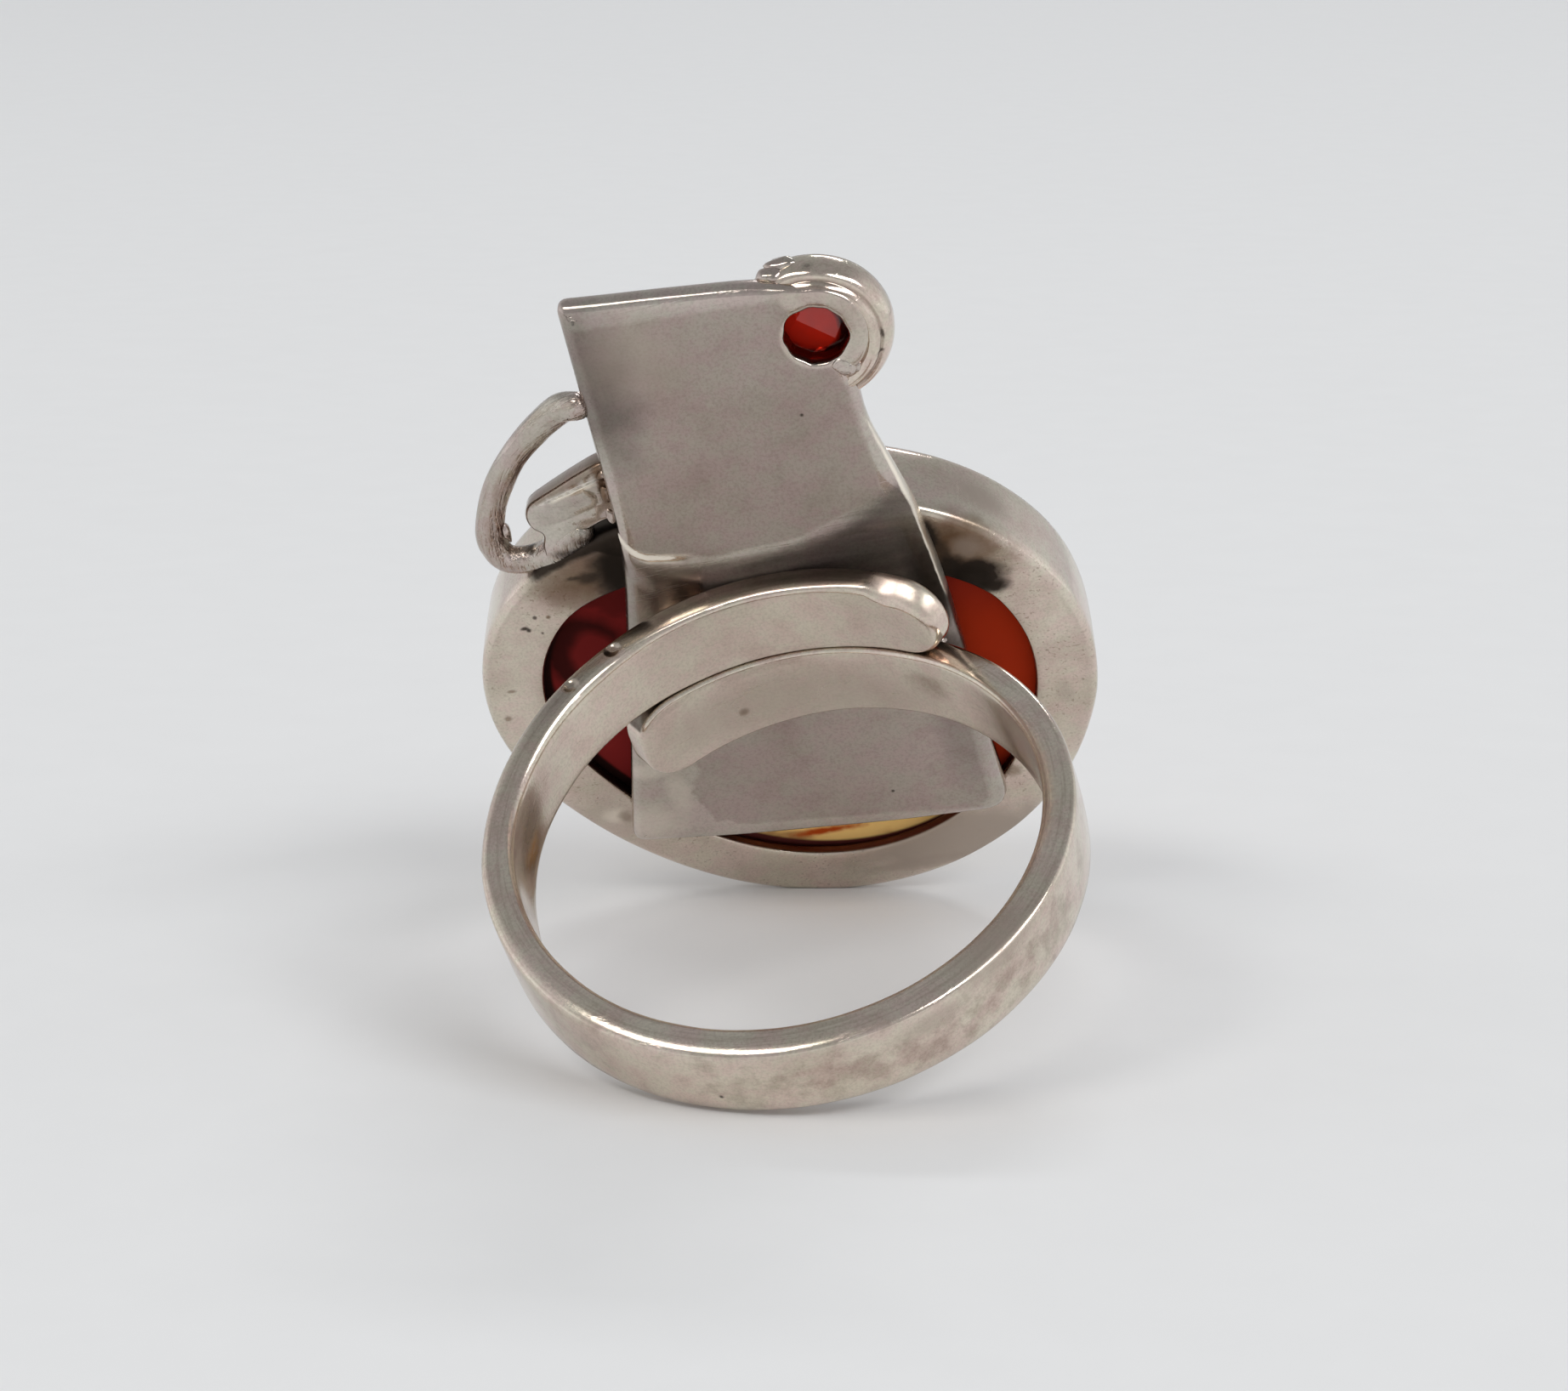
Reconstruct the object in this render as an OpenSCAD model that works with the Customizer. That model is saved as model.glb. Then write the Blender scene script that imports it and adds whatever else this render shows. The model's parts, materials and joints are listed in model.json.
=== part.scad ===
// A gemstone ring lying on its side, as it rests by itself.
// Each piece is drawn in the finger's frame: X runs across the ring, Y from the bottom of
// the shank to the head, Z along the finger. at_rest() then lays the finished ring down.

/* [Shank] */
// Inside diameter of the finger hole
finger_d = 17.4; // [15:0.1:20]
// Thickness of the shank strip
shank_t = 1.12; // [0.8:0.02:1.5]
// Width of the shank strip, along the finger
shank_w = 3.05; // [2.4:0.05:3.1]
// How far each end has moved sideways where it passes the head
end_shift = 1.65; // [1.62:0.01:2]
// How far both ends lean towards the lower edge of the head
end_drop = 0.3; // [0:0.05:0.35]
// How far each end runs past the middle of the head, in degrees
end_pass = 40; // [10:1:42]
// Length of the rounded tip of each end, in degrees
tip_length = 10; // [4:1:20]

/* [Back plate] */
// Thickness of the plate
plate_t = 0.85; // [0.6:0.05:1.2]
// Width of the plate at its foot
plate_foot_w = 14; // [12:0.1:16]
// Width of the plate at the bend
plate_bend_w = 10.1; // [9:0.1:11]
// Width of the plate above the bend
plate_top_w = 9; // [8:0.1:10]
// Height of the bend above the middle of the finger hole
bend_z = 4.7; // [4:0.1:6]
// Angle by which the upper part leans to the front
plate_lean = 12; // [0:1:20]
// Height of the upper part, at its left corner
plate_rise = 9.85; // [8:0.05:12]
// Depth of the plate's foot below the middle of the finger hole, at its right corner
plate_foot = 11.1; // [9:0.1:11.5]
// Diameter of the hole behind the small stone
plate_hole_d = 2.1; // [1.4:0.1:2.6]

/* [Main bezel] */
// Mean radius of the bezel
bezel_r = 10.65; // [9.5:0.05:11.5]
// How much the outline is longer along its long axis, as a radius
bezel_oval = 0.4; // [0:0.02:0.8]
// How much the outline is three-sided, as a radius
bezel_tri = 0.33; // [0:0.01:0.5]
// Height of the bezel wall, from the back rim to the front edge
bezel_h = 3.3; // [2.6:0.1:4.5]
// Thickness of the bezel wall
bezel_wall = 0.7; // [0.5:0.05:1]
// How far the wall draws in towards its front edge
bezel_taper = 0.12; // [0:0.02:0.6]
// Width of the back rim around the opening
rim_w = 2.2; // [1.2:0.1:3]
// Thickness of the back rim
rim_t = 0.55; // [0.4:0.05:0.9]

/* [Main stone] */
// Height of the domed front, above the bezel's front edge
dome_h = 4; // [2:0.1:6]

/* [Small setting] */
// Largest diameter of the small bezel
small_bezel_d = 5.2; // [4.8:0.1:5.8]
// Height of the small bezel, in front of the plate
small_bezel_h = 1.1; // [0.8:0.1:1.6]
// Diameter of the small stone
small_stone_d = 3.6; // [3:0.1:3.8]

/* [Scroll] */
// Diameter of the scroll wire
wire_d = 1; // [0.7:0.05:1.3]
// Thickness of the leaf
leaf_t = 1; // [0.6:0.1:1.4]

/* [Hidden] */
$fn = 96;

// Gap between a stone and the metal around it
fit_gap = 0.06;
// How far pieces that are soldered run into each other
weld = 0.08;
silver_colour = [0.74, 0.73, 0.71];
stone_colour = [0.55, 0.08, 0.04];

finger_r = finger_d / 2;
shank_r = finger_r + shank_t;
end_turn = 180 + end_pass;
low_end_short = 2;
strip_step = 5;

plate_y = shank_r - weld;
rim_y = plate_y + plate_t;
foot_left = -8;
foot_skew = 1.3;
foot_bow = 0.3;
bend_left = -4.4;
bend_right = bend_left + plate_bend_w;
bend_radius = 4;
bend_run = bend_radius * tan(plate_lean / 2);
lap = 0.3;
lap_in = 0.06;
top_left = -4.15;
top_skew = 0.6;
ear = [3.95, 7.05];
ear_r = 1.8;

bezel_centre = [-0.5, -4.6];
oval_axis = -32;
tri_axis = 30;
outline_steps = 120;
front_y = rim_y + bezel_h;

small_centre = [3.85, 6.8];
small_back_d = small_bezel_d - 0.5;
small_flare = 0.4;
small_lip_d = small_bezel_d - 1.1;

// The lay of the ring on the surface
roll = -13.9;
tilt = 33.08;
origin_shift = [-0.38, -5.54, 6.789];

// Middle of the shank strip along the finger, at a turn from the bottom of the ring
function strip_z(turn) = -end_shift * turn / 180 - end_drop * pow(turn / 180, 2);

// Places along a rounded tip: degrees in from its end, and the share of the full width there
tip_places = [for (a = [10 : 10 : 80]) [tip_length * (1 - cos(a)), sin(a)]];

// The bezel's radius at an angle in its own plane
function bezel_radius(angle) = bezel_r + bezel_oval * cos(2 * (angle - oval_axis))
    + bezel_tri * cos(3 * (angle - tri_axis));

// The bezel's outline, moved inwards and then drawn in about its centre
function bezel_outline(inset, share = 1) = [for (i = [0 : outline_steps - 1])
    let (angle = 360 * i / outline_steps, r = share * (bezel_radius(angle) - inset))
    bezel_centre + r * [cos(angle), sin(angle)]];

// A point on a smooth curve through four points in turn
function curve_point(a, b, c, d, t) = 0.5 * (2 * b + (c - a) * t
    + (2 * a - 5 * b + 4 * c - d) * t * t + (3 * b - a - 3 * c + d) * t * t * t);

// A smooth curve through a list of points
function curve(points, steps) = let (last = len(points) - 1) [
    for (i = [0 : last - 1], j = [0 : steps - 1])
        curve_point(points[max(0, i - 1)], points[i], points[i + 1], points[min(last, i + 2)], j / steps),
    points[last]];

// The faces of a tube of rings, with its two ends closed
function tube_faces(rings, sides) = concat(
    [[for (k = [0 : sides - 1]) k]],
    [for (i = [0 : rings - 2], k = [0 : sides - 1]) let (n = (k + 1) % sides)
        [i * sides + k, (i + 1) * sides + k, (i + 1) * sides + n, i * sides + n]],
    [[for (k = [sides - 1 : -1 : 0]) (rings - 1) * sides + k]]);

// Lays the finished ring down: the shank and the bezel's lower edge touch the surface
module at_rest() {
    translate(origin_shift) rotate([tilt, 0, 0]) rotate([0, roll, 0]) children();
}

// The plane of the plate's upper part, with Y to the front and Z up the plate
module on_upper_plate() {
    translate([0, plate_y, bend_z]) rotate([-plate_lean, 0, 0]) children();
}

// Stands a flat shape up: its own X and Y become X and Z, and its thickness runs to the front
module upright(thickness) {
    translate([0, thickness, 0]) rotate([90, 0, 0]) linear_extrude(thickness) children();
}

// The slab between the two edges of the strip, wide enough to cut the ring from a tube
module strip_slab() {
    inner = finger_r - 1;
    outer = shank_r + 1;
    low_end = end_turn - low_end_short;
    places = concat(
        [for (tip = tip_places) [tip[0] - end_turn, tip[1]]],
        [for (turn = [tip_length - end_turn : strip_step : low_end - tip_length]) [turn, 1]],
        [for (i = [len(tip_places) - 1 : -1 : 0]) [low_end - tip_places[i][0], tip_places[i][1]]]);
    points = [for (place = places) each
        let (turn = place[0], out = [sin(turn), -cos(turn)], z = strip_z(turn), half = place[1] * shank_w / 2)
        [[inner * out[0], inner * out[1], z - half], [inner * out[0], inner * out[1], z + half],
         [outer * out[0], outer * out[1], z + half], [outer * out[0], outer * out[1], z - half]]];
    polyhedron(points, tube_faces(len(places), 4), convexity = 6);
}

// A flat strip wrapped round the finger, whose ends pass each other side by side
module shank() {
    intersection() {
        strip_slab();
        difference() {
            cylinder(r = shank_r, h = 16, center = true);
            cylinder(r = finger_r, h = 18, center = true);
        }
    }
}

// Solder that fills the wedge between the round shank and the flat plate
module solder() {
    fill_r = finger_r + shank_t / 2;
    difference() {
        union() {
            translate([-3.8, 0, -3]) cube([7.6, plate_y + weld, 4.7]);
            translate([3.5, 0, -2.6]) cube([2.4, plate_y + weld, 3.4]);
        }
        translate([0, 0, -5]) cylinder(r = fill_r, h = 10);
        translate([-10, -1, -5]) cube([20, 7, 10]);
    }
}

// The side view of the bent plate, as points to the front and up: up the back, down the front
bent_profile = let (low = -plate_foot - 2, reach = plate_rise + 2, middle = plate_y + bend_radius,
    start = bend_z - bend_run, lean = [sin(plate_lean), cos(plate_lean)],
    end = [plate_y, bend_z] + reach * lean, inner = bend_radius - plate_t)
    concat(
        [[plate_y, low]],
        [for (a = [0 : plate_lean / 6 : plate_lean]) [middle - bend_radius * cos(a), start + bend_radius * sin(a)]],
        [end, end + plate_t * [lean[1], -lean[0]]],
        [for (a = [plate_lean : -plate_lean / 6 : 0]) [middle - inner * cos(a), start + inner * sin(a)]],
        [[rim_y, low]]);

// The front view of the flat part, which widens to its foot
module plate_foot_outline() {
    foot_right = foot_left + plate_foot_w;
    polygon([
        [bend_left + lap_in, bend_z + lap], [foot_left, foot_skew - plate_foot],
        [foot_left + plate_foot_w / 3, foot_skew * 2 / 3 - foot_bow - plate_foot],
        [foot_left + plate_foot_w * 2 / 3, foot_skew / 3 - foot_bow - plate_foot],
        [foot_right, -plate_foot], [foot_right, 0], [bend_right - 2 * lap_in, bend_z + lap]]);
}

// The front view of the part above the bend, with a round ear behind the small stone
module plate_top_outline() {
    top_right = top_left + plate_top_w;
    polygon([
        [bend_left, -lap], [top_left, plate_rise], [ear[0] - ear_r, plate_rise - top_skew],
        [ear[0], ear[1] + ear_r], [ear[0], ear[1]], [top_right, 5], [top_right, 3.4],
        [top_right + 0.45, 1.7], [bend_right, 0], [bend_right - lap_in, -lap]]);
    translate(ear) circle(ear_r);
}

// The bent plate that carries the shank, the bezels and the scroll
module back_plate() {
    depth = plate_t + 2;
    difference() {
        intersection() {
            translate([-12, 0, 0]) rotate([90, 0, 90]) linear_extrude(24) polygon(bent_profile);
            union() {
                translate([0, plate_y - 1, 0]) upright(depth) plate_foot_outline();
                on_upper_plate() translate([0, -1, 0]) upright(depth) plate_top_outline();
            }
        }
        on_upper_plate() translate([ear[0], depth, ear[1]]) rotate([90, 0, 0])
            cylinder(d = plate_hole_d, h = depth + 1);
    }
}

// A closed form round the bezel's centre, from rings of [place along Y, inset, share of the outline]
module bezel_form(rings) {
    points = [for (ring = rings) each
        [for (p = bezel_outline(ring[1], is_undef(ring[2]) ? 1 : ring[2])) [p[0], ring[0], p[1]]]];
    polyhedron(points, tube_faces(len(rings), outline_steps), convexity = 4);
}

// The cup of the main stone: a wall drawn in to the front, and a flat rim behind the stone
module main_bezel() {
    inner = bezel_wall + bezel_taper;
    difference() {
        bezel_form([[front_y, bezel_taper + 0.35], [front_y - 0.12, bezel_taper + 0.12],
            [front_y - 0.4, bezel_taper], [rim_y + bezel_h / 2, bezel_taper / 3], [rim_y - weld, 0]]);
        bezel_form([[front_y + 1, inner], [front_y - 0.4, inner], [rim_y + rim_t, bezel_wall]]);
        translate([0, rim_y - 1, 0]) upright(bezel_h) polygon(bezel_outline(rim_w));
    }
}

// The cup of the small stone, flared behind and drawn in to a lip in front
module small_bezel() {
    back = plate_t - weld;
    on_upper_plate() translate([small_centre[0], back, small_centre[1]]) rotate([-90, 0, 0])
        rotate_extrude() polygon([
            [plate_hole_d / 2 + 0.15, 0], [small_back_d / 2, 0],
            [small_bezel_d / 2, small_flare + weld], [small_bezel_d / 2, small_flare + weld + 0.15],
            [small_lip_d / 2, small_bezel_h + weld],
            [small_stone_d / 2 + fit_gap, small_bezel_h + weld], [small_stone_d / 2 + fit_gap, 0.3],
            [plate_hole_d / 2 + 0.15, 0.3]]);
}

// The wire that leaves the plate's left edge and curls down to the bezel
module scroll_wire() {
    // Points across, up the plate and to the front, in the plane of the upper plate
    route = [[-3.9, 5.95, 0.9], [-5.2, 5.7, 0.9], [-6.4, 4.85, 1], [-7.7, 3.2, 1.3], [-8.7, 1.6, 1.6],
        [-9, 0.5, 1.7], [-8.8, -0.1, 1.8], [-8.1, -0.3, 1.9], [-7.4, -0.1, 1.9], [-6.7, 0.4, 1.8]];
    sides = 12;
    line = [for (p = curve(route, 5)) [p[0], p[2], p[1]]];
    last = len(line) - 1;
    points = [for (i = [0 : last]) each
        let (along = line[min(last, i + 1)] - line[max(0, i - 1)], ahead = along / norm(along),
            side = cross(ahead, [0, 1, 0]), u = side / norm(side), v = cross(ahead, u))
        [for (k = [0 : sides - 1]) line[i] + wire_d / 2 * (cos(360 * k / sides) * u + sin(360 * k / sides) * v)]];
    on_upper_plate() polyhedron(points, tube_faces(len(line), sides), convexity = 4);
}

// The flattened end of the scroll, soldered to the plate and the bezel
module leaf() {
    outline = [[-4, 3.4], [-4.8, 3.3], [-6, 2.6], [-7.3, 2], [-7.6, 1.6], [-7.6, 1.2], [-7.3, 0.8],
        [-6.9, 0.1], [-6, 0], [-4.8, 0.4], [-4, 0.9]];
    on_upper_plate() translate([0, plate_t - 0.25, 0]) upright(leaf_t) polygon(outline);
}

// All of the soldered silver, which is one solid, trimmed where it bears on the surface
module silver_mount() {
    color(silver_colour) difference() {
        at_rest() {
            shank();
            solder();
            back_plate();
            main_bezel();
            small_bezel();
            scroll_wire();
            leaf();
        }
        translate([-50, -50, -10]) cube([100, 100, 10]);
    }
}

// The large cabochon: a straight girdle inside the wall and a domed front
module main_stone() {
    inset = bezel_wall + fit_gap;
    girdle = front_y - 0.3;
    arcs = 12;
    color(stone_colour) at_rest() bezel_form(concat(
        [for (i = [arcs : -1 : 0]) let (a = 87 * i / arcs)
            [girdle + dome_h * sin(a), inset + bezel_taper, cos(a)]],
        [[rim_y + rim_t + fit_gap, inset]]));
}

// The small faceted stone: a pavilion towards the plate, a girdle, a crown and a table
module small_stone() {
    r = small_stone_d / 2;
    seat = plate_t + 0.3;
    pavilion_h = 0.5;
    girdle_h = 0.15;
    crown_h = 0.75;
    color(stone_colour) at_rest() on_upper_plate()
        translate([small_centre[0], seat, small_centre[1]]) rotate([-90, 0, 0]) {
            intersection() {
                cylinder(r1 = r * 0.3, r2 = r, h = pavilion_h, $fn = 8);
                rotate(22.5) cylinder(r1 = r * 0.42, r2 = r * 1.1, h = pavilion_h, $fn = 8);
            }
            translate([0, 0, pavilion_h]) cylinder(r = r * 0.98, h = girdle_h, $fn = 8);
            translate([0, 0, pavilion_h + girdle_h]) cylinder(r1 = r * 0.98, r2 = r * 0.55, h = crown_h, $fn = 8);
        }
}

silver_mount();
main_stone();
small_stone();
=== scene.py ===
"""The visible pieces of a silver gemstone ring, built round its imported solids."""

import json
import math

import bmesh
import bpy
from bpy.props import FloatProperty, FloatVectorProperty, PointerProperty
from mathutils import Matrix, Vector, noise
from mathutils.geometry import delaunay_2d_cdt


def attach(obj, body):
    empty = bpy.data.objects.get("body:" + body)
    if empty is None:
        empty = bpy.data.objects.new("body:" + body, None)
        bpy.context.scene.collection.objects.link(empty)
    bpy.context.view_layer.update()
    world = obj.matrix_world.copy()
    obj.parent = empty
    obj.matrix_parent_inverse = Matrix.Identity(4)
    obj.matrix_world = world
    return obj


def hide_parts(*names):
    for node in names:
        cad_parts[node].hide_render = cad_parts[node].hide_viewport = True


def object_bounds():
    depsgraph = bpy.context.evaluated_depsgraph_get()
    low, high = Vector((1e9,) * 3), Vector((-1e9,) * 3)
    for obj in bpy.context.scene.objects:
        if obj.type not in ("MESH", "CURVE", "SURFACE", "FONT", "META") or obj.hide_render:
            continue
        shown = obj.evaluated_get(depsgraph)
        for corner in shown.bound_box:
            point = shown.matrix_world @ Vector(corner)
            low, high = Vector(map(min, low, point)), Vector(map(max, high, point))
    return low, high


bl_info = {
    "name": "Gemstone Ring",
    "version": (1, 0, 0),
    "blender": (4, 5, 0),
    "location": "View3D > Sidebar > Ring",
    "description": "Builds a silver ring with a large cabochon, a small cut stone and a wire scroll",
    "category": "Object",
}

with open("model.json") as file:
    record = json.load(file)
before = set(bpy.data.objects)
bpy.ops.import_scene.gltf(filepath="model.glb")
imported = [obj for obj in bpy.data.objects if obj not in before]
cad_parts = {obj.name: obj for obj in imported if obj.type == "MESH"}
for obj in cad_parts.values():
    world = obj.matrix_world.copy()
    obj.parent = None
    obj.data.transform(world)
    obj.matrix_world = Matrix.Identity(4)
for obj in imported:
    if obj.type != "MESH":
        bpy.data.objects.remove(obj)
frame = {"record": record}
cad_low, cad_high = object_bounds()

# Millimetres in metres: shapes are worked out in millimetres, meshes are in metres
MM = 0.001
# The finger hole gives the lay of the ring: its centre, its axis and its radius
HOLE = next(m for m in frame["record"]["mounts"] if m["name"] == "finger_hole")
AXIS = Vector(HOLE["axis"])
ROLL = math.asin(AXIS.x)
TILT = math.atan2(-AXIS.y, AXIS.z)
AT_REST = (
    Matrix.Translation(HOLE["pos_m"]) @ Matrix.Rotation(TILT, 4, "X") @ Matrix.Rotation(ROLL, 4, "Y")
)


# Settings


def length_setting(name, description, default):
    """The property of a length, in metres."""
    return FloatProperty(name=name, description=description, default=default, unit="LENGTH", precision=5)


def colour_setting(name, description, default):
    """The property of a colour."""
    return FloatVectorProperty(name=name, description=description, default=default, subtype="COLOR")


class RingSizes(bpy.types.PropertyGroup):
    """The sizes of the ring that a maker would choose."""

    finger_diameter: length_setting(
        "Finger Hole", "Inside diameter of the shank", 2 * HOLE["dims"]["r_mm"] * MM,
    )
    strip_width: length_setting("Strip Width", "Width of the shank strip, along the finger", 0.00305)
    strip_thickness: length_setting("Strip Thickness", "Thickness of the shank strip", 0.00112)
    plate_thickness: length_setting("Plate Thickness", "Thickness of the bent back plate", 0.00085)
    plate_lean: FloatProperty(
        name="Plate Lean", description="Angle by which the plate's upper part leans to the front",
        default=math.radians(12), unit="ROTATION",
    )
    border_width: length_setting(
        "Plate Border", "Width of the soft border round the plate's back face", 0.0005,
    )
    bezel_height: length_setting(
        "Bezel Height", "Height of the large bezel, from its back rim to its front edge", 0.0033,
    )
    rim_width: length_setting(
        "Rim Width", "Width of the rim round the opening behind the large stone", 0.0022,
    )
    dome_height: length_setting("Dome Height", "Height of the large stone's dome above its girdle", 0.004)
    cut_stone_diameter: length_setting("Small Stone", "Diameter of the small cut stone", 0.0036)
    wire_diameter: length_setting("Scroll Wire", "Diameter of the scroll wire", 0.001)


class RingFinish(bpy.types.PropertyGroup):
    """The colours and the polish of the ring."""

    silver: colour_setting("Silver", "Clean silver", (0.78, 0.705, 0.62))
    grey_silver: colour_setting(
        "Grey Silver", "The greyer silver of the plate's border and the trim", (0.60, 0.55, 0.505),
    )
    # Worn silver is real wear, and in the small cup's grooves also painted shade and painted dark reflections
    worn_and_shaded_silver: colour_setting("Worn Silver", "Grey-brown patches", (0.46, 0.385, 0.325))
    film: colour_setting("Film", "What a thin warm film leaves of the colour", (0.72, 0.68, 0.64))
    satin_silver: colour_setting("Satin Silver", "The grey satin faces", (0.50, 0.44, 0.405))
    # Soot is real tarnish in places, and also the colour of painted shade and painted dark reflections
    soot_and_shade: colour_setting("Soot", "The darkest tarnish", (0.035, 0.026, 0.02))
    solder: colour_setting("Solder", "Brown tarnish at the soldered joints", (0.17, 0.10, 0.055))
    # Fresh solder is real light solder in places, and also the colour of painted highlights and of a painted
    # light patch
    fresh_solder_and_highlight: colour_setting("Fresh Solder", "Clean light patches of solder", (0.9, 0.82, 0.70))
    # Painted shade and a painted dark red reflection of the stone, on the wall of the opening behind the
    # large stone
    recess_shade: colour_setting(
        "Recess", "The dark wall of the opening behind the large stone", (0.11, 0.025, 0.022),
    )
    stone_dark: colour_setting("Stone, Dark Side", "The large stone's dark red side", (0.24, 0.022, 0.021))
    stone_bright: colour_setting(
        "Stone, Bright Side", "The large stone's orange-red side", (0.42, 0.034, 0.010),
    )
    # Painted light: the amber glow of light that comes through the large stone's lower edge
    stone_amber_glow: colour_setting("Stone, Amber", "The large stone's amber lower edge", (1.0, 0.65, 0.23))
    cut_stone: colour_setting("Small Stone", "The small cut stone", (0.95, 0.032, 0.012))
    polish: FloatProperty(
        name="Polish", description="Roughness of the polished silver", default=0.15, min=0.05, max=0.6,
    )
    satin: FloatProperty(
        name="Satin", description="Roughness of the satin silver", default=0.42, min=0.2, max=0.8,
    )


class RingStage(bpy.types.PropertyGroup):
    """The floor, the lights and the camera."""

    floor: colour_setting("Floor", "Colour of the floor", (0.86, 0.86, 0.86))
    sky: FloatProperty(
        name="Sky", description="Strength of the light from all round", default=0.51, min=0,
    )
    key: FloatProperty(
        name="Lamps", description="Power that each lamp takes its own share of", default=5.2, min=0,
        subtype="POWER",
    )
    camera_place: FloatVectorProperty(
        name="Camera Place", description="Where the camera stands", subtype="TRANSLATION",
        default=(-0.00219, -0.11923, 0.04011), precision=5,
    )
    camera_aim: FloatVectorProperty(
        name="Camera Aim", description="What the camera points at", subtype="TRANSLATION",
        default=(-0.00037, -0.00268, 0.01109), precision=5,
    )
    lens: FloatProperty(
        name="Lens", description="Focal length in millimetres on a sensor 36 mm wide", default=82.6, min=10,
    )


# Layout


class Layout:
    """The ring's sizes in millimetres, in the finger's frame: X across, Y to the head, Z along the finger."""

    # The strip's ends, in degrees round the finger: how far they run from the bottom, how much less the
    # lower one does, and how long their round tips are
    end_turn = 220
    low_end_short = 2
    tip_length = 10
    # How far half a turn takes the ends along the finger: each its own way, and both the same way
    end_shift = 1.65
    end_drop = 0.3
    strip_round = 0.22
    # The seam between the two ends, over the head: how high up the finger, and how much it climbs
    seam_z = -0.205
    seam_slope = 0.04

    bend_z = 4.7
    # The bend's radius, and where the sheet is slacker: how much, how far across and how broadly
    bend_r = 2
    slacks = ((13, -0.6, 2.4), (5, 5, 3))
    plate_corners = (
        # across, up, rounding
        (-8, -9.8, 0.6), (-3.33, -10.55, 1.5), (1.33, -11.08, 1.5), (6, -11.35, 1.1), (6, 0, 3),
        (5.7, 4.7, 1), (5.3, 6.4, 0.8), (4.85, 8.1, 0.8), (4.85, 9.7, 0.5),
    )
    plate_top_corners = ((2.15, 13.95, 0.8), (-4.15, 14.55, 0.4), (-4.4, 4.7, 2))
    # The round ear at the plate's top corner: its middle, its radius and the angle where its curve starts
    ear = (3.95, 7.05)
    ear_r = 1.8
    ear_start = -66
    hole_r = 1.05

    bezel_centre = (-0.5, -4.6)
    bezel_r = 10.65
    # How far the large bezel bulges out of its circle, at two and at three places, and in degrees where
    bezel_oval = 0.4
    oval_axis = -32
    bezel_tri = 0.33
    tri_axis = 30
    bezel_wall = 0.7
    bezel_taper = 0.12
    rim_t = 0.55

    small_centre = (3.85, 6.8)
    small_r = 2.6
    small_h = 1.1

    # The painted shade in the recess behind the large stone, on its wall and on the stone's edge, turns
    # darker between these two places up its wall
    dark_above = (-12.2, -10.8)

    # How far soldered pieces run into each other, and how far a stone keeps from the silver
    weld = 0.08
    fit_gap = 0.06

    def __init__(self, sizes):
        self.finger_r = sizes.finger_diameter / 2 / MM
        self.strip_t = sizes.strip_thickness / MM
        self.strip_w = sizes.strip_width / MM
        self.shank_r = self.finger_r + self.strip_t
        self.plate_t = sizes.plate_thickness / MM
        self.border = sizes.border_width / MM
        self.lean = sizes.plate_lean
        self.plate_y = self.shank_r - self.weld
        self.rim_y = self.plate_y + self.plate_t
        self.bezel_h = sizes.bezel_height / MM
        self.rim_w = sizes.rim_width / MM
        self.front_y = self.rim_y + self.bezel_h
        self.stone_y = self.rim_y + self.rim_t + self.fit_gap
        self.dome_h = sizes.dome_height / MM
        self.cut_r = sizes.cut_stone_diameter / 2 / MM
        self.wire_r = sizes.wire_diameter / 2 / MM

    def on_strip(self, turn, across, out):
        """A point of the strip: at a turn in degrees from the bottom, across its width, out from its core."""
        share = turn / 180
        radius = self.finger_r + self.strip_t / 2 + out
        angle = math.radians(turn)
        z = across - self.end_shift * share - self.end_drop * share * share
        return Vector((radius * math.sin(angle), -radius * math.cos(angle), z))

    def on_plate(self, across, up, depth):
        """A point of the bent plate: across and up its unrolled back face, and deep behind that face."""
        slack = self.bend_r
        for more, middle, width in self.slacks:
            slack += more * math.exp(-(((across - middle) / width) ** 2))
        start = self.bend_z - slack * math.tan(self.lean / 2)
        arc = slack * self.lean
        if up <= start:
            return Vector((across, self.plate_y + depth, up))
        turned = min((up - start) / slack, self.lean)
        # The sheet is as long through a slack bend as through a sharp one at the same place
        beyond = max(0, up - start - arc + 2 * slack * math.tan(self.lean / 2) - arc)
        radius = slack - depth
        y = self.plate_y + slack - radius * math.cos(turned) + beyond * math.sin(turned)
        z = start + radius * math.sin(turned) + beyond * math.cos(turned)
        return Vector((across, y, z))

    def on_upper(self, across, up, depth):
        """A point by its place on the plate's upper part, whose foot is the bend, and its depth behind it."""
        y = self.plate_y + up * math.sin(self.lean) + depth * math.cos(self.lean)
        z = self.bend_z + up * math.cos(self.lean) - depth * math.sin(self.lean)
        return Vector((across, y, z))

    def leaf_line(self, across):
        """How far up the plate the leaf's crest lies; across may be a shader value."""
        return (across + 6) * 0.45 + 2.75

    def on_bezel(self, angle, y, inset, share=1):
        """A point of the large bezel: at an angle in degrees round it, at a height, in from its outline.

        A share of less than 1 draws it in towards the middle.
        """
        radius = self.bezel_r - inset
        radius += self.bezel_oval * math.cos(math.radians(2 * (angle - self.oval_axis)))
        radius += self.bezel_tri * math.cos(math.radians(3 * (angle - self.tri_axis)))
        turn = math.radians(angle)
        x = self.bezel_centre[0] + share * radius * math.cos(turn)
        z = self.bezel_centre[1] + share * radius * math.sin(turn)
        return Vector((x, y, z))


# Mesh helpers


def wave(point, size, height, seed=0):
    """A smooth unevenness, about as long as size and at most as high as height."""
    return height * noise.noise(Vector(point) / size + Vector((seed, seed, seed)))


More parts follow.
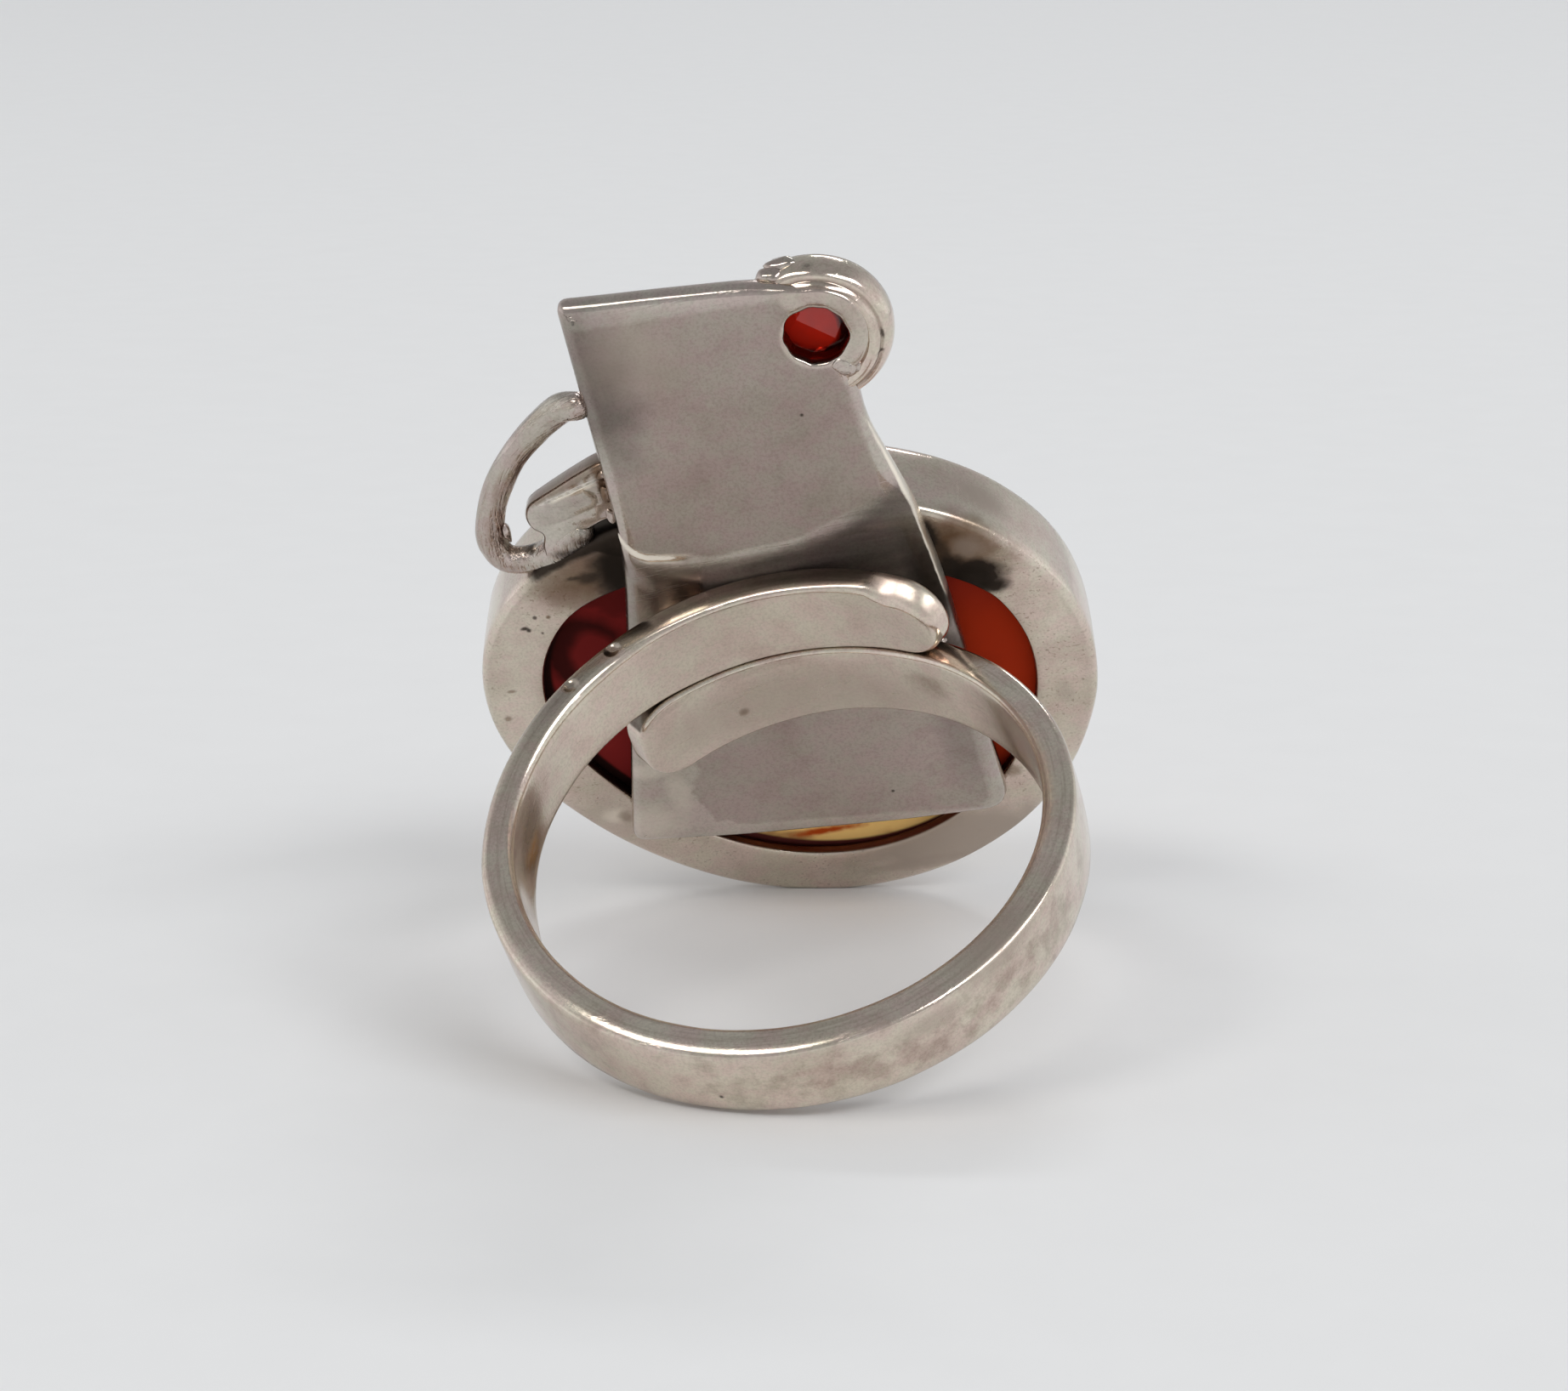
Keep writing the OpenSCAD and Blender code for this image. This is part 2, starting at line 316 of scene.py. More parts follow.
def smooth(value, low, high):
    """0 up to low, 1 from high, and smooth between them."""
    share = min(1, max(0, (value - low) / (high - low)))
    return share * share * (3 - 2 * share)


def circle(count, first=0.0):
    """Points across and up, round a circle of radius 1, from a first angle in degrees."""
    turns = [math.radians(first + 360 * k / count) for k in range(count)]
    return [(math.cos(turn), math.sin(turn)) for turn in turns]


def skin(loops, closed=False, capped=False):
    """The points and faces of a skin over loops of points that all have the same length.

    It is closed when its last loop joins its first, and capped when a face fills each of the two.
    """
    count = len(loops[0])
    points = [p for loop in loops for p in loop]
    faces = []
    for i in range(len(loops) if closed else len(loops) - 1):
        here, there = i * count, (i + 1) % len(loops) * count
        for k in range(count):
            n = (k + 1) % count
            faces.append((here + k, here + n, there + n, there + k))
    if capped:
        faces.append(tuple(range(count)))
        faces.append(tuple(range(len(points) - 1, len(points) - count - 1, -1)))
    return points, faces


def add_piece(name, parts, material, stands_for, flat=False):
    """Makes one mesh of parts, each points in millimetres and faces, kept inside the solids' box."""
    mesh = bpy.data.meshes.new(name)
    build = bmesh.new()
    for points, faces in parts:
        places = [AT_REST @ (Vector(p) * MM) for p in points]
        corners = [build.verts.new(map(max, cad_low, map(min, cad_high, p))) for p in places]
        for face in faces:
            if len(set(face)) == len(face):
                build.faces.new([corners[i] for i in face])
    bmesh.ops.remove_doubles(build, verts=build.verts, dist=2e-7)
    bmesh.ops.dissolve_degenerate(build, edges=build.edges, dist=1e-8)
    loose = [v for v in build.verts if not v.link_faces]
    bmesh.ops.delete(build, geom=loose, context="VERTS")
    bmesh.ops.recalc_face_normals(build, faces=build.faces)
    build.to_mesh(mesh)
    build.free()
    mesh.polygons.foreach_set("use_smooth", [not flat] * len(mesh.polygons))
    mesh.materials.append(material)
    piece = bpy.data.objects.new(name, mesh)
    bpy.context.scene.collection.objects.link(piece)
    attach(piece, "root")
    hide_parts(stands_for)
    return piece


def add_silver(name, parts, material):
    """A piece of the soldered silver mount, with flat faces kept flat under its smooth edges."""
    piece = add_piece(name, parts, material, "silver_mount")
    keep_flat = piece.modifiers.new("keep_flat", "WEIGHTED_NORMAL")
    keep_flat.weight = 60
    return piece


def rounded(corners):
    """An outline whose corners, each across, up and rounding, are turned into short curves."""
    steps, most = 5, 0.45
    outline = []
    for i, (x, z, rounding) in enumerate(corners):
        corner = Vector((x, z))
        before = Vector(corners[i - 1][:2]) - corner
        after = Vector(corners[(i + 1) % len(corners)][:2]) - corner
        if not rounding:
            outline.append(corner)
            continue
        start = corner + before.normalized() * min(rounding, most * before.length)
        end = corner + after.normalized() * min(rounding, most * after.length)
        for k in range(steps + 1):
            t = k / steps
            outline.append((1 - t) ** 2 * start + 2 * t * (1 - t) * corner + t * t * end)
    return outline


def dense(outline, step):
    """The same outline with points no further apart than step."""
    points = []
    for i, here in enumerate(outline):
        there = outline[(i + 1) % len(outline)]
        parts = max(1, math.ceil((there - here).length / step))
        points += [here.lerp(there, k / parts) for k in range(parts)]
    return points


def inset(outline, distance, share=None):
    """The anticlockwise outline moved inwards, each corner along the line that halves it.

    A share gives, for a point of the outline, how much of the distance it moves.
    """
    moved = []
    for i, here in enumerate(outline):
        before = (here - outline[i - 1]).normalized()
        after = (outline[(i + 1) % len(outline)] - here).normalized()
        first, second = Vector((-before.y, before.x)), Vector((-after.y, after.x))
        far = distance * share(here) if share else distance
        moved.append(here + far * (first + second) / max(1 + first.dot(second), 0.5))
    return moved


def inside(point, outline):
    """Whether a point lies inside an outline."""
    found = False
    for i, here in enumerate(outline):
        last = outline[i - 1]
        if (here.y > point.y) != (last.y > point.y):
            if point.x < (last.x - here.x) * (point.y - here.y) / (last.y - here.y) + here.x:
                found = not found
    return found


def sheet(outline, hole, step):
    """Points and triangles that fill an outline round a hole, with a grid of points between them."""
    points = list(outline) + list(hole)
    edges = [(i, (i + 1) % len(outline)) for i in range(len(outline))]
    edges += [(len(outline) + i, len(outline) + (i + 1) % len(hole)) for i in range(len(hole))]
    inner = inset(outline, step / 3)
    outer = inset(hole, -step / 3) if hole else []
    low = Vector((min(p.x for p in outline), min(p.y for p in outline)))
    high = Vector((max(p.x for p in outline), max(p.y for p in outline)))
    for i in range(math.ceil((high.x - low.x) / step)):
        for k in range(math.ceil((high.y - low.y) / step)):
            point = low + Vector((i + 0.5 * (k % 2), k)) * step
            if inside(point, inner) and not (outer and inside(point, outer)):
                points.append(point)
    filled = delaunay_2d_cdt(points, edges, [], 1, 1e-6)
    flat_points, triangles = filled[0], filled[2]
    if hole:
        middles = [sum((flat_points[i] for i in t), Vector((0, 0))) / 3 for t in triangles]
        triangles = [t for t, middle in zip(triangles, middles) if not inside(middle, hole)]
    return flat_points, triangles


def slab(levels, outline, hole_levels, hole, step, place, share=None):
    """A plate from an outline: levels are each an inset and a depth, from the back face to the front."""
    rings = [[place(p.x, p.y, depth) for p in inset(outline, amount, share)] for amount, depth in levels]
    parts = [skin(rings)]
    if hole:
        rings = [[place(p.x, p.y, depth) for p in inset(hole, -amount)] for amount, depth in hole_levels]
        parts.append(skin(rings))
    for end in (0, -1):
        amount, depth = levels[end]
        hole_edge = inset(hole, -hole_levels[end][0]) if hole else []
        points, faces = sheet(inset(outline, amount, share), hole_edge, step)
        parts.append(([place(p.x, p.y, depth) for p in points], faces))
    return parts


def smooth_line(points, steps):
    """A smooth curve through points, with steps between each two."""
    line = []
    for i in range(len(points) - 1):
        a, b = points[max(0, i - 1)], points[i]
        c, d = points[i + 1], points[min(len(points) - 1, i + 2)]
        for k in range(steps):
            t = k / steps
            line.append(
                0.5 * (2 * b + (c - a) * t + (2 * a - 5 * b + 4 * c - d) * t * t
                       + (3 * b - a - 3 * c + d) * t ** 3)
            )
    return line + [points[-1]]


def tube(line, radii, sides):
    """A tube along a line of points, with a radius at each of them."""
    across = Vector((0, 1, 0))
    loops = []
    for i, point in enumerate(line):
        ahead = (line[min(i + 1, len(line) - 1)] - line[max(i - 1, 0)]).normalized()
        side = ahead.cross(across).normalized()
        over = side.cross(ahead)
        loops.append([point + radii[i] * (x * side + y * over) for x, y in circle(sides)])
    return skin(loops)


def round_ends(line, radius):
    """The line carried on into two round ends, with the radius at each of its points."""
    steps, least = 4, 0.001
    turns = [math.pi / 2 * k / steps for k in range(1, steps + 1)]
    caps = [(math.sin(turn), math.cos(turn)) for turn in turns]
    back, ahead = (line[0] - line[1]).normalized(), (line[-1] - line[-2]).normalized()
    longer = [line[0] + back * radius * far for far, _ in reversed(caps)] + line
    longer += [line[-1] + ahead * radius * far for far, _ in caps]
    radii = [radius * max(wide, least) for _, wide in reversed(caps)] + [radius] * len(line)
    radii += [radius * max(wide, least) for _, wide in caps]
    return longer, radii


# Shader helpers


class Value:
    """The output of a shader node, on which Python's arithmetic adds Math nodes."""

    def __init__(self, surface, socket):
        self.surface = surface
        self.socket = socket

    def __add__(self, other):
        return self.surface.math("ADD", self, other)

    def __radd__(self, other):
        return self.surface.math("ADD", other, self)

    def __sub__(self, other):
        return self.surface.math("SUBTRACT", self, other)

    def __rsub__(self, other):
        return self.surface.math("SUBTRACT", other, self)

    def __mul__(self, other):
        return self.surface.math("MULTIPLY", self, other)

    def __rmul__(self, other):
        return self.surface.math("MULTIPLY", other, self)

    def __abs__(self):
        return self.surface.math("ABSOLUTE", self)

    def at_most(self, other):
        """The lesser of the two."""
        return self.surface.math("MINIMUM", self, other)

    def at_least(self, other):
        """The greater of the two."""
        return self.surface.math("MAXIMUM", self, other)

    def rise(self, low, high):
        """0 up to low, 1 from high, and smooth between them. Low may be the greater one."""
        return self.surface.node(
            "ShaderNodeMapRange", {"interpolation_type": "SMOOTHSTEP"},
            {"Value": self, "From Min": low, "From Max": high},
        )


class Surface:
    """The node tree of one material, or of the world."""

    def __init__(self, owner):
        owner.use_nodes = True
        self.owner = owner
        self.tree = owner.node_tree
        self.tree.nodes.clear()

    def node(self, kind, settings=None, values=None, output=0):
        """Adds a node with its settings, then its sockets' values or links, and returns one output."""
        made = self.tree.nodes.new(kind)
        for key, value in (settings or {}).items():
            setattr(made, key, value)
        for key, value in (values or {}).items():
            if isinstance(value, Value):
                self.tree.links.new(value.socket, made.inputs[key])
            else:
                made.inputs[key].default_value = value
        return Value(self, made.outputs[output]) if made.outputs else None

    def math(self, operation, *values):
        """A Math node on values or numbers."""
        return self.node("ShaderNodeMath", {"operation": operation}, dict(enumerate(values)))

    def vector(self, operation, first, second, output=0):
        """A Vector Math node on two vectors."""
        return self.node("ShaderNodeVectorMath", {"operation": operation}, {0: first, 1: second}, output)

    def mix(self, share, first, second, blend="MIX"):
        """The first colour where share is 0, the second, blended in, where it is 1."""
        first, second = (c if isinstance(c, Value) else (*c, 1) for c in (first, second))
        return self.node(
            "ShaderNodeMix", {"data_type": "RGBA", "clamp_factor": True, "blend_type": blend},
            {0: share, 6: first, 7: second}, 2,
        )

    def place(self):
        """The place on the ring, in millimetres, in the finger's frame."""
        here = self.node("ShaderNodeTexCoord", output=3)
        lay = {"Location": AT_REST.to_translation(), "Rotation": AT_REST.to_euler(), "Scale": (MM, MM, MM)}
        return self.node("ShaderNodeMapping", {"vector_type": "TEXTURE"}, {"Vector": here, **lay})

    def parts(self, vector):
        """The three numbers of a vector."""
        first = self.node("ShaderNodeSeparateXYZ", None, {0: vector})
        return [Value(self, socket) for socket in first.socket.node.outputs]

    def cloud(self, place, size, detail=2, roughness=0.5, stretch=(1, 1, 1)):
        """Soft noise from 0 to 1, with blots about as large as size, longer where stretch is less than 1."""
        where = self.vector("MULTIPLY", place, stretch)
        return self.node(
            "ShaderNodeTexNoise", None,
            {"Vector": where, "Scale": 1 / size, "Detail": detail, "Roughness": roughness},
        )

    def streaks(self, along, out, across):
        """Soft noise over three values that are stretched to make streaks along the first."""
        return self.cloud(self.node("ShaderNodeCombineXYZ", None, {0: along, 1: out, 2: across}), 1, 3, 0.6)

    def around(self, across, up):
        """The angle round the middle, in radians, and the distance from it."""
        return self.math("ARCTAN2", up, across), self.math("SQRT", across * across + up * up)

    def spot(self, place, centre, radii, ragged=0.0, ragged_size=1.0):
        """1 in the middle of an oval spot, 0 outside it, with a ragged edge."""
        away = self.vector("SUBTRACT", place, centre)
        away = self.vector("MULTIPLY", away, [1 / r for r in radii])
        distance = self.node("ShaderNodeVectorMath", {"operation": "LENGTH"}, {0: away}, 1)
        if ragged:
            distance = distance + (self.cloud(place, ragged_size, 3) - 0.5) * ragged
        return distance.rise(1.0, 0.25)

    def finish(self, **values):
        """Ends the material in one Principled shader."""
        sockets = {name.replace("_", " "): value for name, value in values.items()}
        shader = self.node("ShaderNodeBsdfPrincipled", None, sockets)
        self.node("ShaderNodeOutputMaterial", None, {"Surface": shader})
        return self.owner

    def bump(self, height):
        """The normal of a surface with this height in millimetres."""
        return self.node("ShaderNodeBump", None, {"Strength": 1.0, "Distance": MM, "Height": height})


# Materials


def silver(name, finish, size, stains=(), layers=(), over=(), relief=(), polish=None, base="silver"):
    """Worn silver over a base colour. Stains are each a kind, a centre, radii and a strength.

    Layers lie under the stains or over them, each a function that makes a mask, a kind, a strength
    and what it adds to the roughness. Relief is functions that make a height in millimetres.
    """
    warm_grey, green_grey, grain_grey = (1.0, 0.915, 0.925), (0.985, 1.0, 0.95), (0.8, 0.79, 0.78)
    grain_high = 0.006
    surface = Surface(bpy.data.materials.new(name))
    place = surface.place()
    broad = surface.cloud(place, 5, 2)
    mottle = surface.cloud(place, 1.3, 4, 0.6)
    blush = surface.cloud(place, 1.3, 5, 0.75, (1, 1, 1.3))
    grain = surface.cloud(place, 0.1, 2, 0.7)
    scratches = surface.cloud(place, 0.5, 3, 0.6, (0.25, 0.5, 9)).rise(0.62, 0.72)
    film = (broad.rise(0.35, 0.75) * 0.45 + mottle.rise(0.45, 0.8) * 0.35).at_most(1)
    tint = surface.mix(blush.rise(0.38, 0.62), green_grey, warm_grey)
    tint = surface.mix(grain.rise(0.4, 0.7) * 0.7, tint, grain_grey, "MULTIPLY")
    colour = getattr(finish, base)
    rough = (polish or finish.polish) + film * 0.06 + scratches * 0.06

    def lay(pile):
        nonlocal colour, rough
        for make_mask, kind, strength, rougher in pile:
            mask = make_mask(size, surface, place) * strength
            colour = surface.mix(mask, colour, getattr(finish, kind))
            rough = rough + mask * rougher

    lay(layers)
    colour = surface.mix(1.0, colour, tint, "MULTIPLY")
    colour = surface.mix(film, colour, finish.film, "MULTIPLY")
    for kind, centre, radii, strength in stains:
        spot = surface.spot(place, centre, radii, 0.45, 0.6 * min(radii)) * strength
        colour = surface.mix(spot, colour, getattr(finish, kind))
        rough = rough + spot * 0.2
    lay(over)
    height = (grain * 0.35 + scratches * 0.4 + mottle * 0.6) * grain_high
    for make_height in relief:
        height = height + make_height(size, surface, place)
    return surface.finish(
        Base_Color=colour, Metallic=1.0, Roughness=rough, Normal=surface.bump(height),
    )


def cabochon(name, finish, size):
    """The large stone: dark red on the left, orange-red on the right, and a painted amber glow of light
    through its lower edge.
    """
    surface = Surface(bpy.data.materials.new(name))
    place = surface.place()
    across, depth, up = surface.parts(place)
    black, rust = (0.022, 0.008, 0.007), (0.5, 0.07, 0.01)
    band_up = size.bezel_centre[1] - 5.6
    swirl = surface.cloud(place, 4.5, 3, 0.55, (1, 1, 0.6))
    vein = surface.cloud(place, 2.0, 3, 0.6, (0.6, 1, 1.3)).rise(0.5, 0.66)
    side = (across * 0.09 + swirl * 1.1 - 0.1).rise(0, 1)
    colour = surface.mix(side, finish.stone_dark, finish.stone_bright)
    colour = surface.mix((up + swirl * 3).rise(-1.5, 2.5) * 0.6, colour, finish.stone_dark)
    cloudy = surface.spot(place, (-7.4, size.stone_y, -0.9), (1.9, 3, 2.5), 0.5, 1.5) * 2
    pocket = surface.spot(place, (-7.0, size.stone_y, -1.3), (1.1, 3, 1.7), 0.5, 1.5) * 2
    dark = cloudy.at_most(1) * (1 - pocket.at_most(1) * 0.75)
    colour = surface.mix(dark.at_least(vein * (0.5 - side * 0.4)) * 0.85, colour, black)
    dome = depth.rise(size.front_y - 0.9, size.front_y - 0.5)
    front = depth.rise(size.rim_y + 1, size.front_y)
    # Painted light: the amber glow of light coming through the stone's lower edge
    wander = swirl * 0.8 + front * (surface.cloud(place, 3.2, 4, 0.6, (0.7, 1, 1)) - 0.5) * 6
    low = (up + wander).rise(band_up + front * 0.6, band_up - 1 - front * 1.2)
    colour = surface.mix(low * (1 - vein * 0.6), colour, finish.stone_amber_glow)
    streak = surface.spot(place, (-1.2, size.stone_y, -12.4), (1.9, 1, 0.3), 0.8, 0.5)
    colour = surface.mix(streak, colour, rust)
    # The rim's shade on the stone's back, a little to one side
    _, inset, _ = round_bezel(size, surface, surface.vector("SUBTRACT", place, (0.28, 0, 0.05)))
    shade = inset.rise(size.rim_w + 0.1, size.rim_w - 0.08) * depth.rise(size.rim_y + 1.0, size.rim_y + 0.8)
    edge = surface.mix(up.rise(*size.dark_above), finish.recess_shade, black)
    colour = surface.mix(shade, colour, edge)
    return surface.finish(
        Base_Color=colour, Roughness=0.18, IOR=1.54, Specular_IOR_Level=0.0,
        Coat_Weight=dome, Coat_Roughness=0.05,
    )


def cut_red(name, finish, size):
    """The small stone: clear red with a slightly darker bloom inside, and painted shade, nearly black, on its
    facets low behind.
    """
    surface = Surface(bpy.data.materials.new(name))
    place = surface.place()
    bloom = surface.cloud(place, 1.2, 2)
    colour = surface.mix(bloom.rise(0.3, 0.8) * 0.4, finish.cut_stone, finish.stone_dark)
    depth, _, _ = round_hole(size, surface, place, size.small_centre)
    # Painted light on the stone's middle, and painted shade, nearly black, on the facets low behind it, where
    # the hole's wall shades them
    lit_middle, lit_radii, sharp = size.on_upper(3.6, 6.78, 1.3), (1.12, 4, 0.95), 9
    lit = surface.spot(place, lit_middle, lit_radii, 0.1, 0.5) * sharp
    dark = (1 - lit.at_most(1)) * depth.rise(1.75, 1.6)
    nearly_black = (0.01, 0.002, 0.002)
    colour = surface.mix(dark, colour, nearly_black)
    return surface.finish(
        Base_Color=colour, Roughness=0.08, IOR=1.74, Specular_IOR_Level=0.25, Transmission_Weight=0.35,
    )


# Pieces


def strip_section(size, soft, broad):
    """The strip's section: shares of its half width, then an inset and a height of each edge point.

    Its outer edges are rounded over a broad part of its thickness.
    """
    half_t = size.strip_t / 2
    edge_steps, face_steps = 5, 8
    turns = [math.pi / 2 * i / edge_steps for i in range(edge_steps + 1)]
    edge = [(soft * (1 - math.sin(a)), soft * (1 - math.cos(a)) - half_t) for a in turns]
    edge += [(soft * (1 - math.sin(a)), half_t - broad * (1 - math.cos(a))) for a in reversed(turns)]
    columns = [1 - 2 * i / face_steps for i in range(1, face_steps)]
    section = [(1, amount, out) for amount, out in edge]
    section += [(share, soft, half_t) for share in columns]
    section += [(-1, amount, out) for amount, out in reversed(edge)]
    section += [(-share, soft, -half_t) for share in columns]
    return section


def shank_parts(size):
    """A flat strip wrapped round the finger, with soft edges and round tips."""
    middle_r = size.finger_r + size.strip_t / 2
    reach = math.radians(size.tip_length) * middle_r
    low = size.tip_length - size.end_turn
    high = size.end_turn - size.low_end_short - size.tip_length
    tip = [math.radians(a) for a in range(0, 90, 5)]
    stations = [(low, -1, a) for a in tip]
    count = 200
    stations += [(low + (high - low) * i / count, 0, math.pi / 2) for i in range(count + 1)]
    stations += [(high, 1, a) for a in reversed(tip)]
    worn_soft, foot_soft, crown_high, squarer = 0.2, 0.45, 0.03, 0.4
    widen_from, widening, filed = 151, 0.0065, 0.3
    loops = []
    for turn, way, angle in stations:
        # The edges are worn rounder at the upper tip and down the left side, and outside at the foot
        worn = smooth(turn, -190, -215) + smooth(turn, -165, -135) * smooth(turn, -75, -105)
        soft = size.strip_round + worn_soft * worn
        broad = soft + foot_soft * smooth(abs(turn), 90, 60)
        # The lower end is a little wider where it lies against the upper one
        wider = widening * max(0, turn - widen_from)
        # The upper tip slopes down to the finger, and the lower one is squarer where the ends meet
        slope = filed * smooth(turn, -203, -208)
        loop = []
        for share, amount, out in strip_section(size, soft, broad):
            along = way * (reach - amount) * math.cos(angle)
            wide = math.sin(angle) ** squarer if way > 0 and share > 0 else math.sin(angle)
            across = (share * (size.strip_w / 2 - amount) + max(0, share) * wider) * wide
            across *= 1 - slope * max(0, share) * (0.5 - out / size.strip_t)
            point = size.on_strip(turn + math.degrees(along / middle_r), across, out)
            crown = crown_high * (1 - share * share) * (1 if out > 0 else -0.3)
            outwards = Vector((point.x, point.y, 0)).normalized()
            uneven = wave(point, 2.5, 0.02) + wave(point, 0.9, 0.008, 6)
            loop.append(point + outwards * (crown - crown_high + uneven))
        loops.append(loop)
    return [skin(loops)]


def plate_outline(size):
    """The unrolled outline of the back plate, anticlockwise, with the round ear at its top corner."""
    ear_up = size.ear[1] + size.bend_z
    angles = [math.radians(a) for a in range(size.ear_start, 91, 6)]
    ear = [(size.ear[0] + size.ear_r * math.cos(a), ear_up + size.ear_r * math.sin(a), 0) for a in angles]
    return dense(rounded([*size.plate_corners, *ear, *size.plate_top_corners]), 0.5)


def plate_parts(size):
    """The bent plate, with a soft border on its back face and a hole behind the small stone."""
    wide, thick = size.border, size.plate_t
    back = [
        # share of the border's width, depth
        (1, 0), (0.8, 0.008), (0.6, 0.03), (0.42, 0.07), (0.28, 0.12), (0.17, 0.18), (0.08, 0.26),
        (0.02, 0.36),
    ]
    levels = [(share * wide, depth) for share, depth in back] + [(0, 0.46), (0, thick - 0.22)]
    levels += [(0.03, thick - 0.12), (0.1, thick - 0.04), (0.2, thick)]
    step, least = 0.45, 0.25
    hole_levels = [(0.14, 0), (0.05, 0.03), (0, 0.1), (0, thick)]
    centre = Vector((size.ear[0], size.ear[1] + size.bend_z))
    hole = []
    for x, y in circle(48):
        hole.append(centre + Vector((x, y)) * (size.hole_r + wave((2 * x, 2 * y, 0), 0.9, 0.1, 4)))

    def place(across, up, depth):
        uneven = wave((across, up, 0), 4, 0.035, 7) + wave((across, up, 0), 1.6, 0.008, 3)
        return size.on_plate(across, up, depth + uneven)

    def border(point):
        narrow = smooth(point.x, 4.9, 5.4) * smooth(point.y, 6.4, 5.2) * smooth(point.y, -2, -0.5)
        ear = smooth(point.x, 2.6, 3.4) * smooth(point.y, 9.5, 10.5)
        return 1 - (1 - least) * max(narrow, 0.8 * ear)

    return slab(levels, plate_outline(size), hole_levels, hole, step, place, border)


def bezel_parts(size):
    """The cup of the large stone: a flat back rim, a wall and a front lip pressed over the stone."""
    back, front, wall = size.rim_y, size.front_y, size.bezel_wall
    taper, opening, inner = size.bezel_taper, size.rim_w, size.rim_y + size.rim_t
    rim_steps, wall_steps = 8, 7
    # Each a height and an inset: the back rim, the wall, the front lip, the inside and the opening
    profile = [(back, opening - 0.25 - (opening - 0.6) * i / rim_steps) for i in range(rim_steps + 1)]
    profile += [(back + 0.01, 0.24), (back + 0.05, 0.13), (back + 0.13, 0.05), (back + 0.26, 0)]
    for share in (i / wall_steps for i in range(1, wall_steps)):
        profile.append((back + 0.26 + (size.bezel_h - 0.7) * share, taper * share * share))
    profile += [
        (front - 0.44, taper), (front - 0.25, taper + 0.04), (front - 0.1, taper + 0.14),
        (front - 0.02, taper + 0.3), (front, taper + 0.45), (front - 0.05, taper + 0.62),
        (front - 0.2, taper + 0.7), (front - 0.5, taper + wall), (inner, wall),
        (inner, opening - 0.12), (inner - 0.08, opening - 0.03), (inner - 0.2, opening),
        (back + 0.16, opening), (back + 0.06, opening - 0.03), (back + 0.015, opening - 0.1),
    ]
    count = 288
    loops = []
    for y, amount in profile:
        loop = []
        for k in range(count):
            angle = 360 * k / count
            uneven = wave(size.on_bezel(angle, y, amount), 3.5, 0.03, 11)
            # The opening is flatter at its top
            wider = 0.5 * smooth(angle, 22, 45) * smooth(angle, 140, 112) * smooth(amount, 1, opening)
            loop.append(size.on_bezel(angle, y - uneven * 0.5, amount + abs(uneven) + wider))
        loops.append(loop)
    return [skin(loops, closed=True)]


def small_bezel_parts(size):
    """The round cup of the small stone, bowl-shaped behind and drawn in to a lip in front."""
    hole, wide, high = size.hole_r + 0.15, size.small_r, size.small_h
    stone = size.cut_r + size.fit_gap
    profile = (
        # radius, height in front of the plate
        (hole, 0), (1.55, -0.1), (1.68, -0.58), (1.8, -0.69), (1.95, -0.7), (2.07, -0.63), (2.15, -0.48),
        (2.2, -0.4), (2.28, -0.42), (2.38, -0.36), (2.47, -0.23), (2.55, -0.02), (2.59, 0.2), (wide, 0.45),
        (wide - 0.01, 0.62), (wide - 0.12, 0.78), (wide - 0.3, 0.95), (wide - 0.5, high + 0.03),
        (wide - 0.6, high + size.weld), (stone + 0.03, high + size.weld - 0.03), (stone, high),
        (stone, 0.36), (stone - 0.06, 0.3), (hole, 0.3),
    )
    loops = []
    for radius, depth in profile:
        loop = []
        for x, y in circle(96):
            across, up = size.small_centre[0] + radius * x, size.small_centre[1] + radius * y
            uneven = wave((across, up, depth), 1.2, 0.03, 5)
            loop.append(size.on_upper(across, up, size.plate_t - size.weld + depth + uneven))
        loops.append(loop)
    return [skin(loops, closed=True)]


def scroll_parts(size):
    """The wire that leaves the plate's left edge and curls down to the large bezel."""
    route = (
        # across, up the plate, to the front
        (-4.5, 5.87, 0.55), (-5.2, 5.68, 0.9), (-6.4, 4.8, 1.2), (-7.5, 3.75, 1.4), (-8.5, 2.3, 1.7),
        (-9.02, 1, 1.7), (-9, 0.3, 1.7), (-8.75, -0.15, 1.7), (-8.3, -0.32, 1.7), (-7.7, -0.32, 1.65),
        (-7.1, -0.1, 1.5), (-6.5, 0.3, 1.3), (-5.8, 0.7, 1.1),
    )
    line = smooth_line([size.on_upper(*place) for place in route], 8)
    longer, radii = round_ends(line, size.wire_r)
    radii = [r * (1 + wave(p, 1.5, 0.1, 2)) for r, p in zip(radii, longer)]
    return [tube(longer, radii, 20)]


